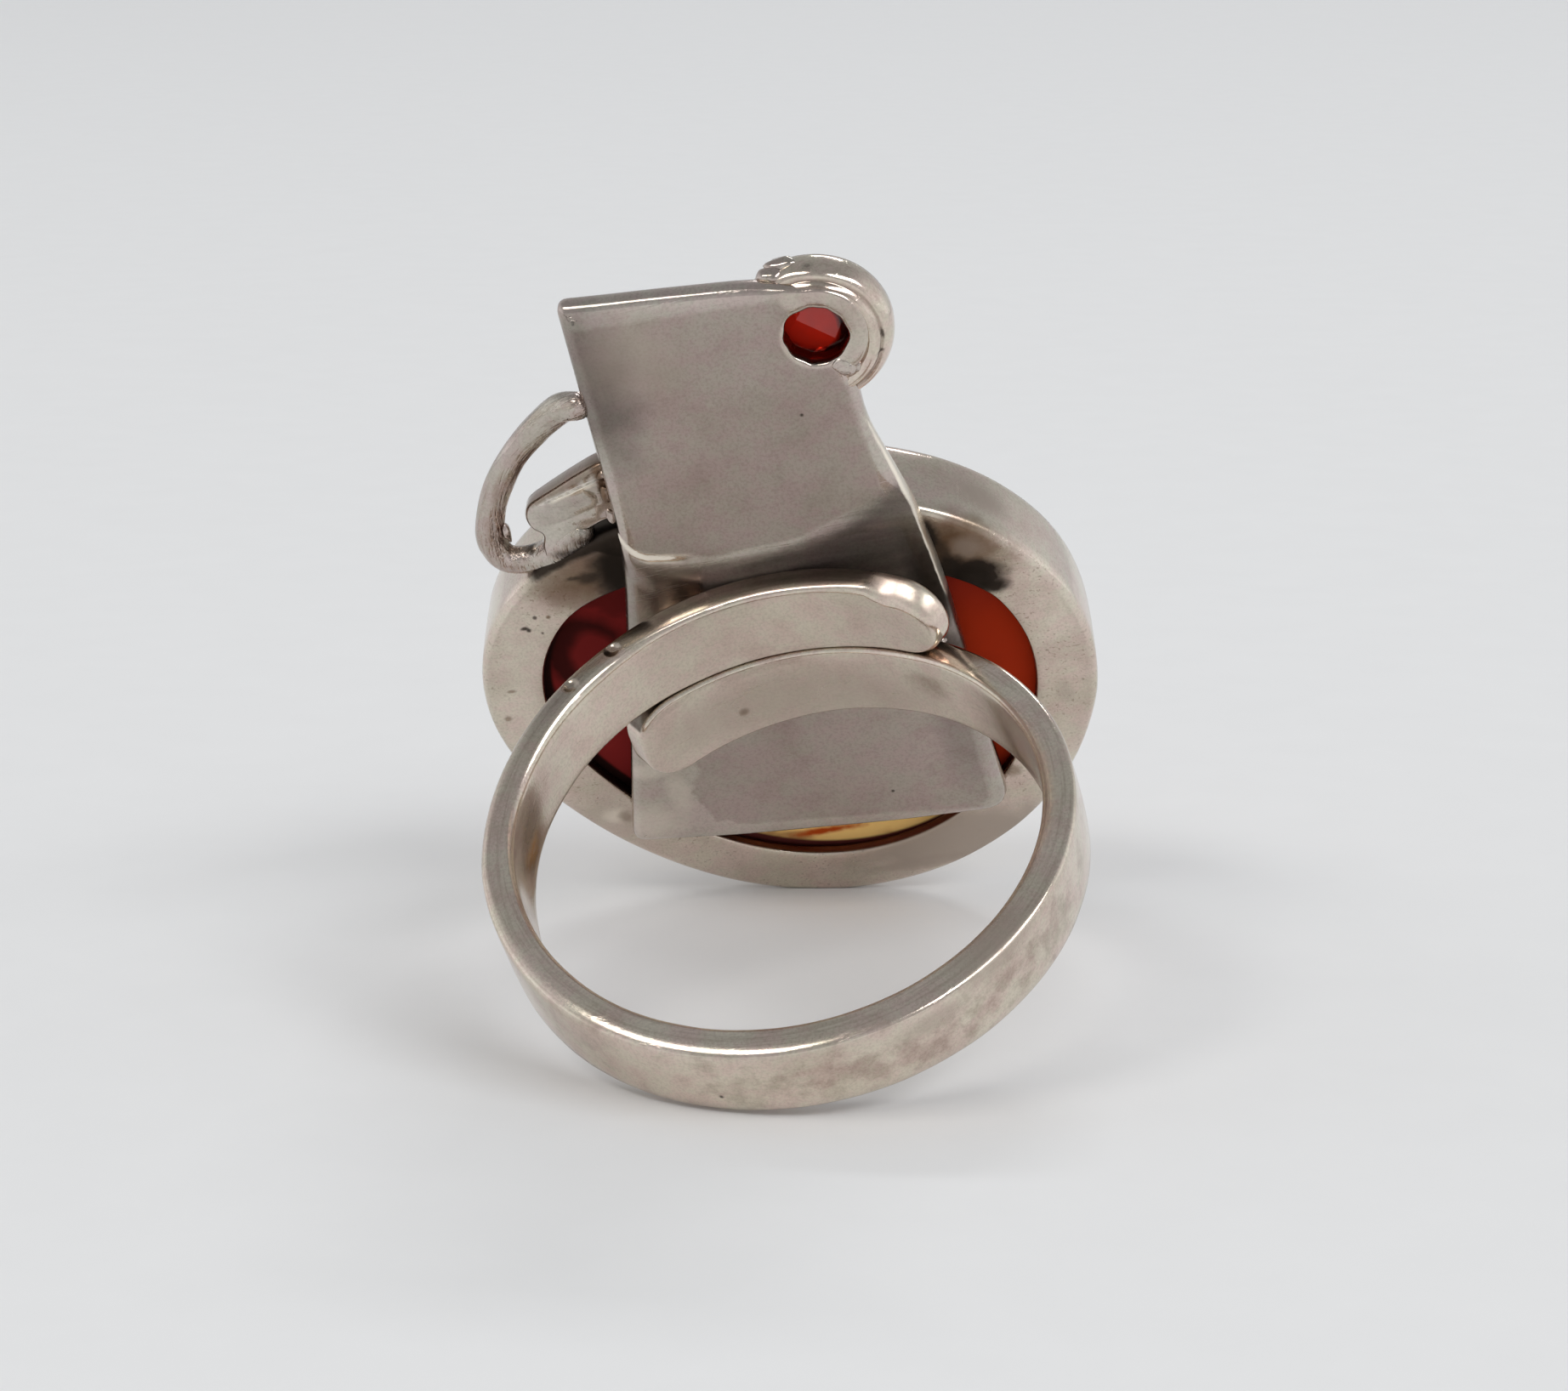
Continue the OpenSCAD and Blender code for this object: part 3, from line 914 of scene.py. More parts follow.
def leaf_parts(size):
    """The flattened end of the scroll, pillow-shaped, soldered to the plate and the large bezel."""
    corners = (
        # across, up, rounding
        (-4, 1.3, 0), (-4, 3.6, 0), (-4.7, 3.5, 0.3), (-6, 2.85, 0.8), (-7.35, 2.1, 0.4), (-7.6, 1.6, 0.3),
        (-7.5, 1.1, 0.3), (-7.1, 0.85, 0.15), (-7.3, 0.3, 0.3), (-7.2, -0.2, 0.3), (-6.8, -0.3, 0.3),
        (-5.6, 0.8, 0.6), (-4.8, 1.2, 0.3),
    )
    outline = dense(rounded(corners), 0.25)
    levels = (
        # inset, depth
        (0.22, 0), (0.13, 0.03), (0.06, 0.09), (0.02, 0.17), (0, 0.26), (0, 0.75), (0.06, 0.9), (0.16, 1),
    )

    # At its left the leaf slopes away from the plate, and along its crest it is thickest
    bend_across, slope, sunk, crest_wide, crest_high = -4.8, 0.17, 0.25, 0.4, 0.12

    def place(across, up, depth):
        away = max(0, bend_across - across)
        crest = max(0, 1 - abs(up - size.leaf_line(across)) / crest_wide)
        swell = crest_high * crest + wave((across, up, 0), 1.1, 0.08, 9)
        out = size.plate_t - sunk + depth + slope * away
        return size.on_upper(across, up, out - swell * (1 - depth))

    return slab(levels, outline, (), (), 0.3, place)


def bead(centre, radii, seed):
    """One lump of solder."""
    lump = bmesh.new()
    bmesh.ops.create_icosphere(lump, subdivisions=3, radius=1)
    points = []
    for vertex in lump.verts:
        way = vertex.co * (1 + wave(vertex.co, 0.9, 0.35, seed))
        points.append(centre + Vector((way.x * radii[0], way.y * radii[1], way.z * radii[2])))
    faces = [[v.index for v in face.verts] for face in lump.faces]
    lump.free()
    return points, faces


def solder_parts(size):
    """The solder between the round shank and the flat plate, and the lumps at the small joints."""
    places = (
        # across, up, depth from the plate's back face, three radii
        (4.6, 5.75, 0.17, 0.42, 0.3, 0.36), (5.0, 5.5, 0.4, 0.28, 0.3, 0.3),
        (-4.35, 3.1, 0.7, 0.3, 0.3, 0.25), (-4.45, 2.3, 0.7, 0.22, 0.28, 0.35),
        (-4.5, 1.4, 0.7, 0.25, 0.3, 0.3), (-4.2, 5.6, 0.75, 0.3, 0.35, 0.22),
        (2.85, 9.15, 0.85, 0.45, 0.35, 0.24), (3.3, 9.3, 1.1, 0.6, 0.35, 0.22),
        (-8.42, 0.95, 1.55, 0.13, 0.25, 0.38),
    )
    parts = [bead(size.on_upper(*place[:3]), place[3:], seed) for seed, place in enumerate(places)]
    fill_r = size.finger_r + size.strip_t * 0.6
    far = size.plate_y + size.weld
    left, length_across, top, top_slope, bottom, waist, count = -4.4, 9.9, 1.2, 0.3, -3, 0.25, 60
    loops = []
    for i in range(count + 1):
        x = left + length_across * i / count
        near = math.sqrt(max(fill_r ** 2 - x * x, 0))
        z_top = top - top_slope * (x - left) + wave((x, 0, 0), 0.8, 0.1)
        z_low = bottom + 0.06 * x
        loop = [(near, z_low), (near, z_top)]
        loop += [((near + far) / 2, z_top - waist), (far - 0.12, z_top - waist * 0.5), (far, z_top + 0.15)]
        loop += [(far, z_low - 0.15), ((near + far) / 2, z_low + waist)]
        loops.append([Vector((x, y, z)) for y, z in loop])
    return parts + [skin(loops, capped=True)]


def cabochon_parts(size):
    """The large stone: a flat back, a straight girdle and a domed front."""
    inset_back = size.bezel_wall + size.fit_gap
    inset_front = inset_back + size.bezel_taper
    back, girdle, count = size.stone_y, size.front_y - 0.3, 192
    rings = [(back, inset_back + 0.25, share) for share in (0.001, 0.2, 0.4, 0.6, 0.8, 0.93, 1)]
    rings += [(back + 0.08, inset_back + 0.08, 1), (back + 0.25, inset_back, 1)]
    rings.append((girdle - 0.3, inset_front, 1))
    steps = 36
    for i in range(steps + 1):
        angle = math.radians(89.9) * i / steps
        rings.append((girdle + size.dome_h * math.sin(angle), inset_front, math.cos(angle)))
    loops = []
    for y, amount, share in rings:
        loops.append([size.on_bezel(360 * k / count, y, amount, share) for k in range(count)])
    return [skin(loops, capped=True)]


def cut_stone_parts(size):
    """The small stone as a round brilliant: table, stars, kites, girdle, pavilion and culet."""
    r = size.cut_r
    rings = (
        # share of the radius, depth from the plate's back face, how many points, first angle
        (0.55, 2.55, 8, 0), (0.8, 2.27, 8, 22.5), (0.985, 1.85, 16, 0), (1, 1.8, 32, 0), (1, 1.7, 32, 0),
        (0.74, 1.42, 6, 20), (0.4, 1.02, 2, 140),
    )
    stone = bmesh.new()
    for share, depth, count, first in rings:
        for x, y in circle(count, first):
            across, up = size.small_centre[0] + share * r * x, size.small_centre[1] + share * r * y
            stone.verts.new(size.on_upper(across, up, depth))
    bmesh.ops.convex_hull(stone, input=stone.verts)
    bmesh.ops.dissolve_limit(stone, angle_limit=math.radians(1), verts=stone.verts, edges=stone.edges)
    bmesh.ops.delete(stone, geom=[v for v in stone.verts if not v.link_faces], context="VERTS")
    stone.verts.index_update()
    points = [v.co.copy() for v in stone.verts]
    faces = [[v.index for v in face.verts] for face in stone.faces]
    stone.free()
    return [(points, faces)]


# Stains, and a few spots of painted shade, shadow and light among them, each a kind, a centre, three radii
# and a strength, in millimetres in the finger's frame

SHANK_STAINS = (
    ("solder", (-1.93, 8.48, -2.38), (0.28, 0.3, 0.28), 1.0),
    ("solder", (-8.5, 1.8, 1.0), (0.5, 2.6, 0.7), 0.6),
    ("solder", (5.7, 8.0, -1.3), (1.9, 1.7, 1.1), 1.0),
    ("worn_and_shaded_silver", (7.12, -6.76, 0.94), (2.5, 2.5, 0.8), 0.6),
    ("worn_and_shaded_silver", (4.78, -8.58, 0.42), (2.4, 1.4, 0.6), 0.5),
    ("soot_and_shade", (-2.3, -9.55, -0.51), (0.12, 0.12, 0.12), 0.8),
    ("worn_and_shaded_silver", (0, 8.7, -2.2), (9, 4, 2.0), 0.55),
)
PLATE_STAINS = (
    ("soot_and_shade", (5.4, 9.75, -2.4), (1.3, 1, 1.3), 0.85),
    ("soot_and_shade", (5.6, 9.75, 1.2), (1.1, 1.3, 3.4), 0.9),
    ("soot_and_shade", (-3.7, 10.9, 11.6), (2.2, 2, 5.0), 0.55),
    ("worn_and_shaded_silver", (-2.2, 11.3, 12.0), (2.2, 1, 2.6), 0.5),
    ("soot_and_shade", (5.2, 9.75, -6.5), (1.5, 1, 5.5), 0.25),
    ("fresh_solder_and_highlight", (-6.4, 9.75, -6.0), (1.4, 1, 0.6), 0.4),
    ("fresh_solder_and_highlight", (-6.9, 9.75, -8.8), (1.5, 1, 1.4), 0.35),
    ("fresh_solder_and_highlight", (-5.6, 9.75, -7.4), (0.6, 1, 1.6), 0.3),
    ("soot_and_shade", (2.83, 10.63, 8.89), (0.09, 0.3, 0.09), 0.8),
    ("soot_and_shade", (1.99, 9.74, -9.21), (0.1, 0.3, 0.1), 0.8),
)
BEZEL_STAINS_SHADE_AND_LIGHT = (
    ("solder", (6.3, 10.6, 1.5), (3.0, 1.2, 2.7), 0.95),
    ("worn_and_shaded_silver", (6.9, 10.6, 1.6), (0.8, 0.8, 0.8), 0.6),
    ("soot_and_shade", (6.1, 10.6, 1.5), (0.35, 0.8, 1.0), 0.7),
    ("soot_and_shade", (6.9, 10.6, 0.1), (1.4, 1.2, 1.1), 1.8),
    ("soot_and_shade", (6.2, 10.6, 0.7), (0.8, 0.6, 0.9), 1.2),
    ("soot_and_shade", (7.5, 10.6, -0.5), (0.8, 0.6, 0.5), 1.0),
    ("soot_and_shade", (5.7, 10.6, 2.4), (0.6, 1, 1.4), 1.2),
    ("solder", (-5.9, 10.6, 3.5), (3.2, 1.2, 2.0), 0.8),
    ("solder", (-6.8, 10.6, 2.6), (1.7, 1, 1.2), 0.5),
    # A painted light patch on the rim's lower right, not a patch of solder
    ("fresh_solder_and_highlight", (8.1, 10.6, -10.0), (1.2, 0.8, 1.8), 0.4),
    # Painted shade in the crevice under the leaf, along its lower edge
    ("soot_and_shade", (-5.0, 10.6, 3.4), (1.3, 1.0, 2.3), 1.0),
    ("soot_and_shade", (-5.1, 10.6, 3.2), (1.0, 1.0, 2.0), 0.8),
    ("soot_and_shade", (-6.1, 10.6, 3.3), (0.6, 0.5, 0.45), 0.75),
    ("soot_and_shade", (-6.6, 10.6, 3.4), (0.35, 0.5, 0.15), 0.6),
    ("soot_and_shade", (-8.9, 10.6, 1.42), (0.22, 0.4, 0.13), 0.9),
    ("soot_and_shade", (-8.78, 10.6, 1.3), (0.14, 0.4, 0.14), 0.9),
    ("soot_and_shade", (-8.4, 10.6, 1.86), (0.12, 0.4, 0.14), 0.8),
    ("soot_and_shade", (-8.35, 10.6, 1.05), (0.08, 0.4, 0.1), 0.6),
    ("solder", (-7.93, 10.6, 1.78), (0.12, 0.4, 0.14), 0.8),
    ("solder", (-10.26, 10.6, -1.58), (0.26, 0.4, 0.12), 0.6),
    ("solder", (-10.78, 10.6, -2.92), (0.2, 0.5, 0.2), 0.6),
    ("worn_and_shaded_silver", (8.9, 10.6, -6.4), (0.5, 0.6, 0.8), 0.5),
    ("worn_and_shaded_silver", (7.9, 12.3, 2.4), (1.9, 1.2, 1.7), 0.9),
    ("worn_and_shaded_silver", (4.0, 10.6, -13.4), (6, 1.5, 2.2), 1.3),
    ("worn_and_shaded_silver", (-8.8, 10.6, -9.2), (2.5, 1.5, 2.5), 0.6),
    ("fresh_solder_and_highlight", (-8.41, 10.6, -8.96), (0.7, 0.6, 0.6), 0.5),
    ("solder", (6.3, 10.6, -10.1), (0.5, 0.6, 0.5), 0.6),
    ("worn_and_shaded_silver", (2.2, 10.6, -14.4), (3.4, 0.8, 0.5), 0.8),
    ("solder", (-8.1, 10.6, -9.1), (0.4, 0.6, 0.5), 0.5),
)
CUP_STAINS = (
    ("soot_and_shade", (6.05, 11.5, 11.05), (0.1, 0.5, 0.3), 0.8),
    ("soot_and_shade", (5.85, 11.4, 10.45), (0.2, 0.5, 0.1), 0.8),
    ("soot_and_shade", (4.24, 12.27, 13.73), (0.4, 0.4, 0.12), 0.85),
    ("solder", (2.95, 12.3, 13.82), (0.45, 0.5, 0.2), 0.9),
)
SCROLL_STAINS_AND_SHADE = (
    # Painted shadow where the wire's end meets the plate
    ("soot_and_shade", (-4.25, 11.6, 10.0), (0.5, 0.7, 0.42), 0.9),
    ("solder", (-8.2, 11.4, 4.6), (0.9, 0.6, 0.25), 0.8),
    ("soot_and_shade", (-7.75, 11.3, 4.5), (0.3, 0.5, 0.13), 0.8),
    ("solder", (-4.5, 10.7, 7.4), (0.3, 0.8, 1.8), 0.9),
    ("soot_and_shade", (-4.6, 10.8, 8.3), (0.4, 0.6, 0.35), 0.8),
    # Painted shade on the leaf's lower part, which faces down
    ("soot_and_shade", (-5.0, 10.7, 5.0), (1.7, 0.8, 0.75), 1.0),
    ("soot_and_shade", (-6.3, 10.7, 4.6), (0.9, 0.6, 0.4), 0.8),
)


# Masks and heights over the pieces' surfaces, and the places on the ring that they start from


def specks(surface, place, across, least):
    """A mask of fine specks about as wide as across, fewer where least is greater."""
    some = surface.cloud(place, 2.5, 2).rise(0.42, 0.6)
    return surface.cloud(place, across, 2, 0.7).rise(least, least + 0.06) * some


def scroll_specks(size, surface, place):
    """A mask of brown specks on the scroll and its solder."""
    return specks(surface, place, 0.22, 0.62)


def bend_shade(size, surface, place):
    """A mask of painted shade and a painted dark reflection under the plate's bend, darker to the right."""
    middle, lowest, sag = -0.4, 4.1, 0.06
    across, _, up = surface.parts(place)
    streaks = surface.cloud(place, 0.8, 3, 0.6, (0.4, 1, 2.5))
    aside = across - middle
    below = aside * aside * sag + lowest - up + (streaks - 0.5) * 0.7
    deep = across.rise(-3.0, 1.5) * 0.33 + streaks * 0.25 + 0.2
    return below.rise(-0.05, 0.9) * deep * up.rise(-2.5, 0)


def plate_edge_highlight(size, surface, place):
    """A mask of the painted highlight along the thin edge on the plate's right, beside the bend."""
    lower, lower_slope, upper, upper_slope = 6, 0.064, 6.8, 0.235
    across, _, up = surface.parts(place)
    edge = (lower - up * lower_slope).at_most(upper - up * upper_slope)
    chips = surface.cloud(place, 0.4, 3) * 0.08
    return (across - edge + chips).rise(-0.09, -0.03) * up.rise(0, 0.5) * up.rise(8.5, 7.5)


def lip_drop(across, up):
    """How far a place lies under the top of the lip at the left end of the bend, which turns up there."""
    top, slope, turn_up, most = 4.52, 0.24, 0.95, 0.9
    corner = (-3.5 - across).at_least(0)
    return top - (across + 3) * slope + (corner * corner * turn_up).at_most(most) - up


def lip_highlight(size, surface, place):
    """A mask of the painted highlight on the lip at the left end of the bend."""
    across, _, up = surface.parts(place)
    ragged = (surface.cloud(place, 0.5, 2, 0.5, (0.5, 1, 2)) - 0.5) * 0.25
    drop = lip_drop(across, up) + ragged
    return drop.rise(-0.12, 0.1) * drop.rise(0.5, 0.15) * across.rise(-1.6, -3.0)


def bend_lip(size, surface, place):
    """The height of the lip at the left end of the bend."""
    high = 0.1
    across, _, up = surface.parts(place)
    drop = lip_drop(across, up)
    return drop.rise(-0.1, 0.4) * drop.rise(2.2, 0.6) * across.rise(-1.2, -3.2) * high


def strip_dents(size, surface, place):
    """The height of two small dents in the side of the shank's upper end."""
    turns, radii, deep = (-145, -133), (0.36, 0.36, 0.3), 0.08
    side = size.strip_w / 2
    first, second = (surface.spot(place, size.on_strip(turn, side, 0), radii) for turn in turns)
    return (first + second) * -deep


def leaf_rise(size, surface, place):
    """How far a place lies above the crest along the leaf's upper edge, and its place across."""
    across, up, _ = upper_place(size, surface, place)
    return up - size.leaf_line(across), across


def leaf_edge(size, surface, place):
    """A mask of the brown band along the leaf's upper edge."""
    above, _ = leaf_rise(size, surface, place)
    return (above + surface.cloud(place, 0.4, 3) * 0.3).rise(-0.1, 0.08)


def leaf_highlight(size, surface, place):
    """A mask of the painted highlight, a bright stroke along the leaf's crest."""
    above, across = leaf_rise(size, surface, place)
    above = above + (across + 6) * 0.1 + (surface.cloud(place, 0.5, 2) - 0.5) * 0.15
    stroke = above.rise(-0.52, -0.42) * above.rise(-0.2, -0.3)
    return stroke * across.rise(-6.6, -6.2) * across.rise(-4.6, -4.9)


def leaf_crest(size, surface, place):
    """The height of the narrow crest along the leaf's upper edge."""
    high = 0.3
    above, across = leaf_rise(size, surface, place)
    above = above + (across + 6) * 0.1
    crest = above.rise(-1.3, -0.4) * above.rise(-0.22, -0.4)
    return crest * across.rise(-7.4, -6.0) * across.rise(-4.1, -5.2) * high


def round_bezel(size, surface, place):
    """The angle in degrees round the large bezel, the distance in from its outline, and the place's Y."""
    across, depth, up = surface.parts(place)
    angle, radius = surface.around(across - size.bezel_centre[0], up - size.bezel_centre[1])
    oval = surface.math("COSINE", (angle - math.radians(size.oval_axis)) * 2) * size.bezel_oval
    tri = surface.math("COSINE", (angle - math.radians(size.tri_axis)) * 3) * size.bezel_tri
    return angle * math.degrees(1), size.bezel_r + oval + tri - radius, depth


def rim_face(size, depth):
    """A mask of the large bezel's flat back rim, from a place's Y."""
    return depth.rise(size.rim_y + 0.25, size.rim_y + 0.1)


def bezel_wall_shade(size, surface, place):
    """A mask of painted shade and a painted dark red reflection of the stone on the wall of the opening
    behind the large stone.
    """
    _, inset, depth = round_bezel(size, surface, place)
    inner = inset.rise(size.rim_w - 0.35, size.rim_w - 0.25)
    return inner * depth.rise(size.rim_y + 0.06, size.rim_y + 0.16)


def upper_wall_shade(size, surface, place):
    """A mask of painted shade on the same wall above the amber band, where no light comes through the stone.
    """
    _, _, up = surface.parts(place)
    return bezel_wall_shade(size, surface, place) * up.rise(*size.dark_above)


def bezel_face(size, surface, place):
    """A mask of the duller patches on the large bezel's flat back rim."""
    _, inset, depth = round_bezel(size, surface, place)
    patches = surface.cloud(place, 2.2, 4, 0.65).rise(0.4, 0.62) * 0.85 + 0.15
    return patches * rim_face(size, depth) * inset.rise(0.1, 0.4)


def bezel_specks(size, surface, place):
    """A mask of fine specks on the large bezel's back rim."""
    _, depth, _ = surface.parts(place)
    return specks(surface, place, 0.2, 0.6) * rim_face(size, depth)


def bezel_crevice_shade(size, surface, place):
    """A mask of painted shade in the crevice where the scroll lies on the large bezel, wider near the plate.
    """
    end, spread, near_plate, near_spread = 136, 0.025, 118.5, 0.22
    angle, inset, depth = round_bezel(size, surface, place)
    width = (end - angle) * spread + ((near_plate - angle) * near_spread).at_least(0)
    width = width + surface.cloud(place, 0.5, 3) * 0.3
    edge = (inset - width).rise(0.1, -0.2) * depth.rise(size.rim_y + 1.7, size.rim_y + 1.2)
    return edge * angle.rise(134, 131) * angle.rise(85, 105)


def strip_place(size, surface, place):
    """The turn round the shank in degrees, the distance from its axis, and the place across the strip."""
    x, y, z = surface.parts(place)
    angle, radius = surface.around(-1 * y, x)
    # The ends go on past the top, each on its own side of the seam between them
    right = surface.math("GREATER_THAN", x, 0)
    upper = surface.math("GREATER_THAN", z - x * size.seam_slope - size.seam_z, 0)
    past = (1 - right) * (1 - upper) - right * upper
    turn = angle * math.degrees(1) + past * surface.math("GREATER_THAN", y, 4) * 360
    share = turn * (1 / 180)
    return turn, radius, z + share * size.end_shift + share * share * size.end_drop


def strip_bloom(size, surface, place):
    """A mask of grey patches along the middle of the shank's outer face."""
    turn, radius, across = strip_place(size, surface, place)
    band = abs(across + 0.1).rise(1.25, 0.3) * turn.rise(-35, 5) * turn.rise(95, 60)
    patches = surface.cloud(place, 0.9, 5, 0.6) + band * 0.14
    return patches.rise(0.5, 0.78) * radius.rise(size.shank_r - 0.3, size.shank_r - 0.15)


def strip_streaks(size, surface, place):
    """A mask of streaks that run round the shank's sides."""
    turn, radius, across = strip_place(size, surface, place)
    streaks = surface.streaks(turn * 0.05, radius * 7, across * 2).rise(0.45, 0.65)
    return streaks * abs(across).rise(size.strip_w / 2 - 0.3, size.strip_w / 2 - 0.1)


def strip_join_shade(size, surface, place):
    """A mask of painted shade on the upper side of the shank's lower end, where the two ends meet."""
    turn, radius, across = strip_place(size, surface, place)
    side = radius.rise(size.finger_r + 0.06, size.finger_r + 0.2) * across.rise(1.3, 1.4)
    return side * turn.rise(138, 152)


def strip_tip(size, surface, place):
    """A mask of the filed slope at the shank's upper tip, rougher and painted lighter to spread its
    highlight.
    """
    turn, radius, across = strip_place(size, surface, place)
    inner = radius.rise(size.finger_r, size.finger_r + 0.1)
    return turn.rise(-203, -206) * across.rise(0.2, 0.6) * inner


def strip_shade(size, surface, place):
    """A mask of a painted dark reflection on the upper side of the shank's upper end."""
    turn, radius, across = strip_place(size, surface, place)
    side = radius.rise(size.finger_r + 0.2, size.finger_r + 0.4) * across.rise(1.3, 1.45)
    return side * (turn.rise(-160, -200) * 0.4 + 0.5) * turn.rise(-110, -130) * turn.rise(-207, -203)


def upper_place(size, surface, place, centre=(0, 0)):
    """The place across and up the plate's upper part from a centre, and its depth from the back face."""
    foot = size.on_upper(0, 0, 0)
    away = surface.vector("SUBTRACT", place, size.on_upper(*centre, 0))
    across, _, _ = surface.parts(away)
    up = surface.vector("DOT_PRODUCT", away, size.on_upper(0, 1, 0) - foot, 1)
    depth = surface.vector("DOT_PRODUCT", away, size.on_upper(0, 0, 1) - foot, 1)
    return across, up, depth


def round_hole(size, surface, place, centre):
    """The depth from the back face of the plate's upper part, and the radius and turn round a centre."""
    across, up, depth = upper_place(size, surface, place, centre)
    angle, radius = surface.around(across, up)
    return depth, radius, angle * math.degrees(1)


def hole_wall_shade(size, surface, place):
    """A mask of painted shade on the wall of the hole behind the small stone."""
    depth, radius, _ = round_hole(size, surface, place, size.ear)
    return radius.rise(size.hole_r + 0.16, size.hole_r + 0.08) * depth.rise(0.05, 0.2)


def ear_polish(size, surface, place):
    """A mask of the brighter ear round the hole."""
    _, radius, _ = round_hole(size, surface, place, size.ear)
    return radius.rise(size.ear_r + 0.2, size.ear_r)


def cup_groove_shade(size, surface, place):
    """A mask of painted shade in the grooves that run round the small cup, with painted dark reflections
    streaked round it.
    """
    groove_r, band_r, band_turn = 2.19, 2.02, 72
    depth, radius, turn = round_hole(size, surface, place, size.small_centre)
    streaks = surface.streaks(turn * 0.06, radius * 6, depth * 3)
    radius = radius + (streaks - 0.5) * 0.12
    groove = abs(radius - groove_r).rise(0.1, 0.02) * 0.85
    band = abs(radius - band_r).rise(0.1, 0.04) * abs(turn - band_turn).rise(35, 20) * 0.8
    dark = groove.at_least(band).at_least(streaks.rise(0.5, 0.75) * 0.4)
    return dark * depth.rise(1.5, 1.1)


def scroll_streaks(size, surface, place):
    """A mask of streaks along the scroll wire, which bends nearly in a circle."""
    middle = (-3.2, size.bend_z)
    x, y, z = surface.parts(place)
    angle, radius = surface.around(x - middle[0], z - middle[1])
    return surface.streaks(angle * 2.5, radius * 4, y * 4).rise(0.4, 0.7)


def scroll_grain(size, surface, place):
    """The height of the same streaks."""
    return scroll_streaks(size, surface, place) * 0.03


def plate_satin(size, surface, place):
    """A mask of the satin middle of the plate's back face, inside its lighter border."""
    zones = (
        # corners across and up, anticlockwise, in the finger's frame: the upper part, then the foot
        ((-3.9, 5), (-3.2, 4.4), (-1.2, 4), (1.5, 4.2), (4.85, 5.4), (4.6, 9.5), (3.1, 13.2), (-3.85, 13.5)),
        ((-5.7, -9.4), (4.9, -10.9), (5.4, -10.4), (5.55, -1), (5.1, 4), (-4.2, 3.6), (-5.3, -4), (-5, -7)),
    )
    across, _, up = surface.parts(place)
    foot = across.rise(-1.5, -4.5) * up.rise(-5, -7.5) * 1.6 + 0.15
    wander = (surface.cloud(place, 1.2, 2) - 0.5) * foot
    across, up = across + wander, up + wander
    covered = 0.0
    for zone in zones:
        nearest = 1.0
        for i, (x, z) in enumerate(zone):
            last_x, last_z = zone[i - 1]
            run = math.hypot(x - last_x, z - last_z)
            normal = ((last_z - z) / run, (x - last_x) / run)
            depth = across * normal[0] + up * normal[1] - (x * normal[0] + z * normal[1])
            nearest = depth.at_most(nearest)
        covered = nearest.rise(-0.08, 0.16).at_least(covered)
    _, radius, _ = round_hole(size, surface, place, size.ear)
    return covered * radius.rise(size.hole_r + 0.08, size.hole_r + 0.2)


# Operators


class BuildShank(bpy.types.Operator):
    """Build the shank, a flat strip whose ends pass each other side by side"""

    bl_idname = "ring.build_shank"
    bl_label = "Shank"

    def execute(self, context):
        size = Layout(context.scene.ring_sizes)
        finish = context.scene.ring_finish
        layers = (
            (strip_bloom, "worn_and_shaded_silver", 0.65, 0.08),
            (strip_streaks, "worn_and_shaded_silver", 0.38, 0.05),
            # Painted shade where the two ends meet, a painted dark reflection on the upper end's side, and a
            # painted lighter highlight on its filed tip
            (strip_join_shade, "soot_and_shade", 0.8, 0.1),
            (strip_shade, "soot_and_shade", 0.75, 0.05),
            (strip_tip, "fresh_solder_and_highlight", 0.4, 0.4),
        )
        material = silver("shank_silver", finish, size, SHANK_STAINS, layers, relief=(strip_dents,))
        add_silver("shank_strip", shank_parts(size), material)
        return {"FINISHED"}


class BuildPlate(bpy.types.Operator):
    """Build the bent back plate with its soft border and its hole"""

    bl_idname = "ring.build_plate"
    bl_label = "Back Plate"

    def execute(self, context):
        size = Layout(context.scene.ring_sizes)
        finish = context.scene.ring_finish
        layers = (
            (ear_polish, "silver", 0.35, -0.06),
            (plate_satin, "satin_silver", 1, finish.satin - finish.polish),
            # Painted shade on the wall of the hole, and painted shade and a painted dark reflection under the
            # bend
            (hole_wall_shade, "soot_and_shade", 0.97, 0.1),
            (bend_shade, "soot_and_shade", 1, 0.25),
        )
        # Painted highlights on the plate's right edge and on the lip at the left end of the bend
        over = ((plate_edge_highlight, "fresh_solder_and_highlight", 0.9, -0.1), (lip_highlight, "fresh_solder_and_highlight", 0.9, -0.25))
        material = silver(
            "plate_silver", finish, size, PLATE_STAINS, layers, over, (bend_lip,), base="grey_silver",
        )
        add_silver("plate_back", plate_parts(size), material)
        return {"FINISHED"}


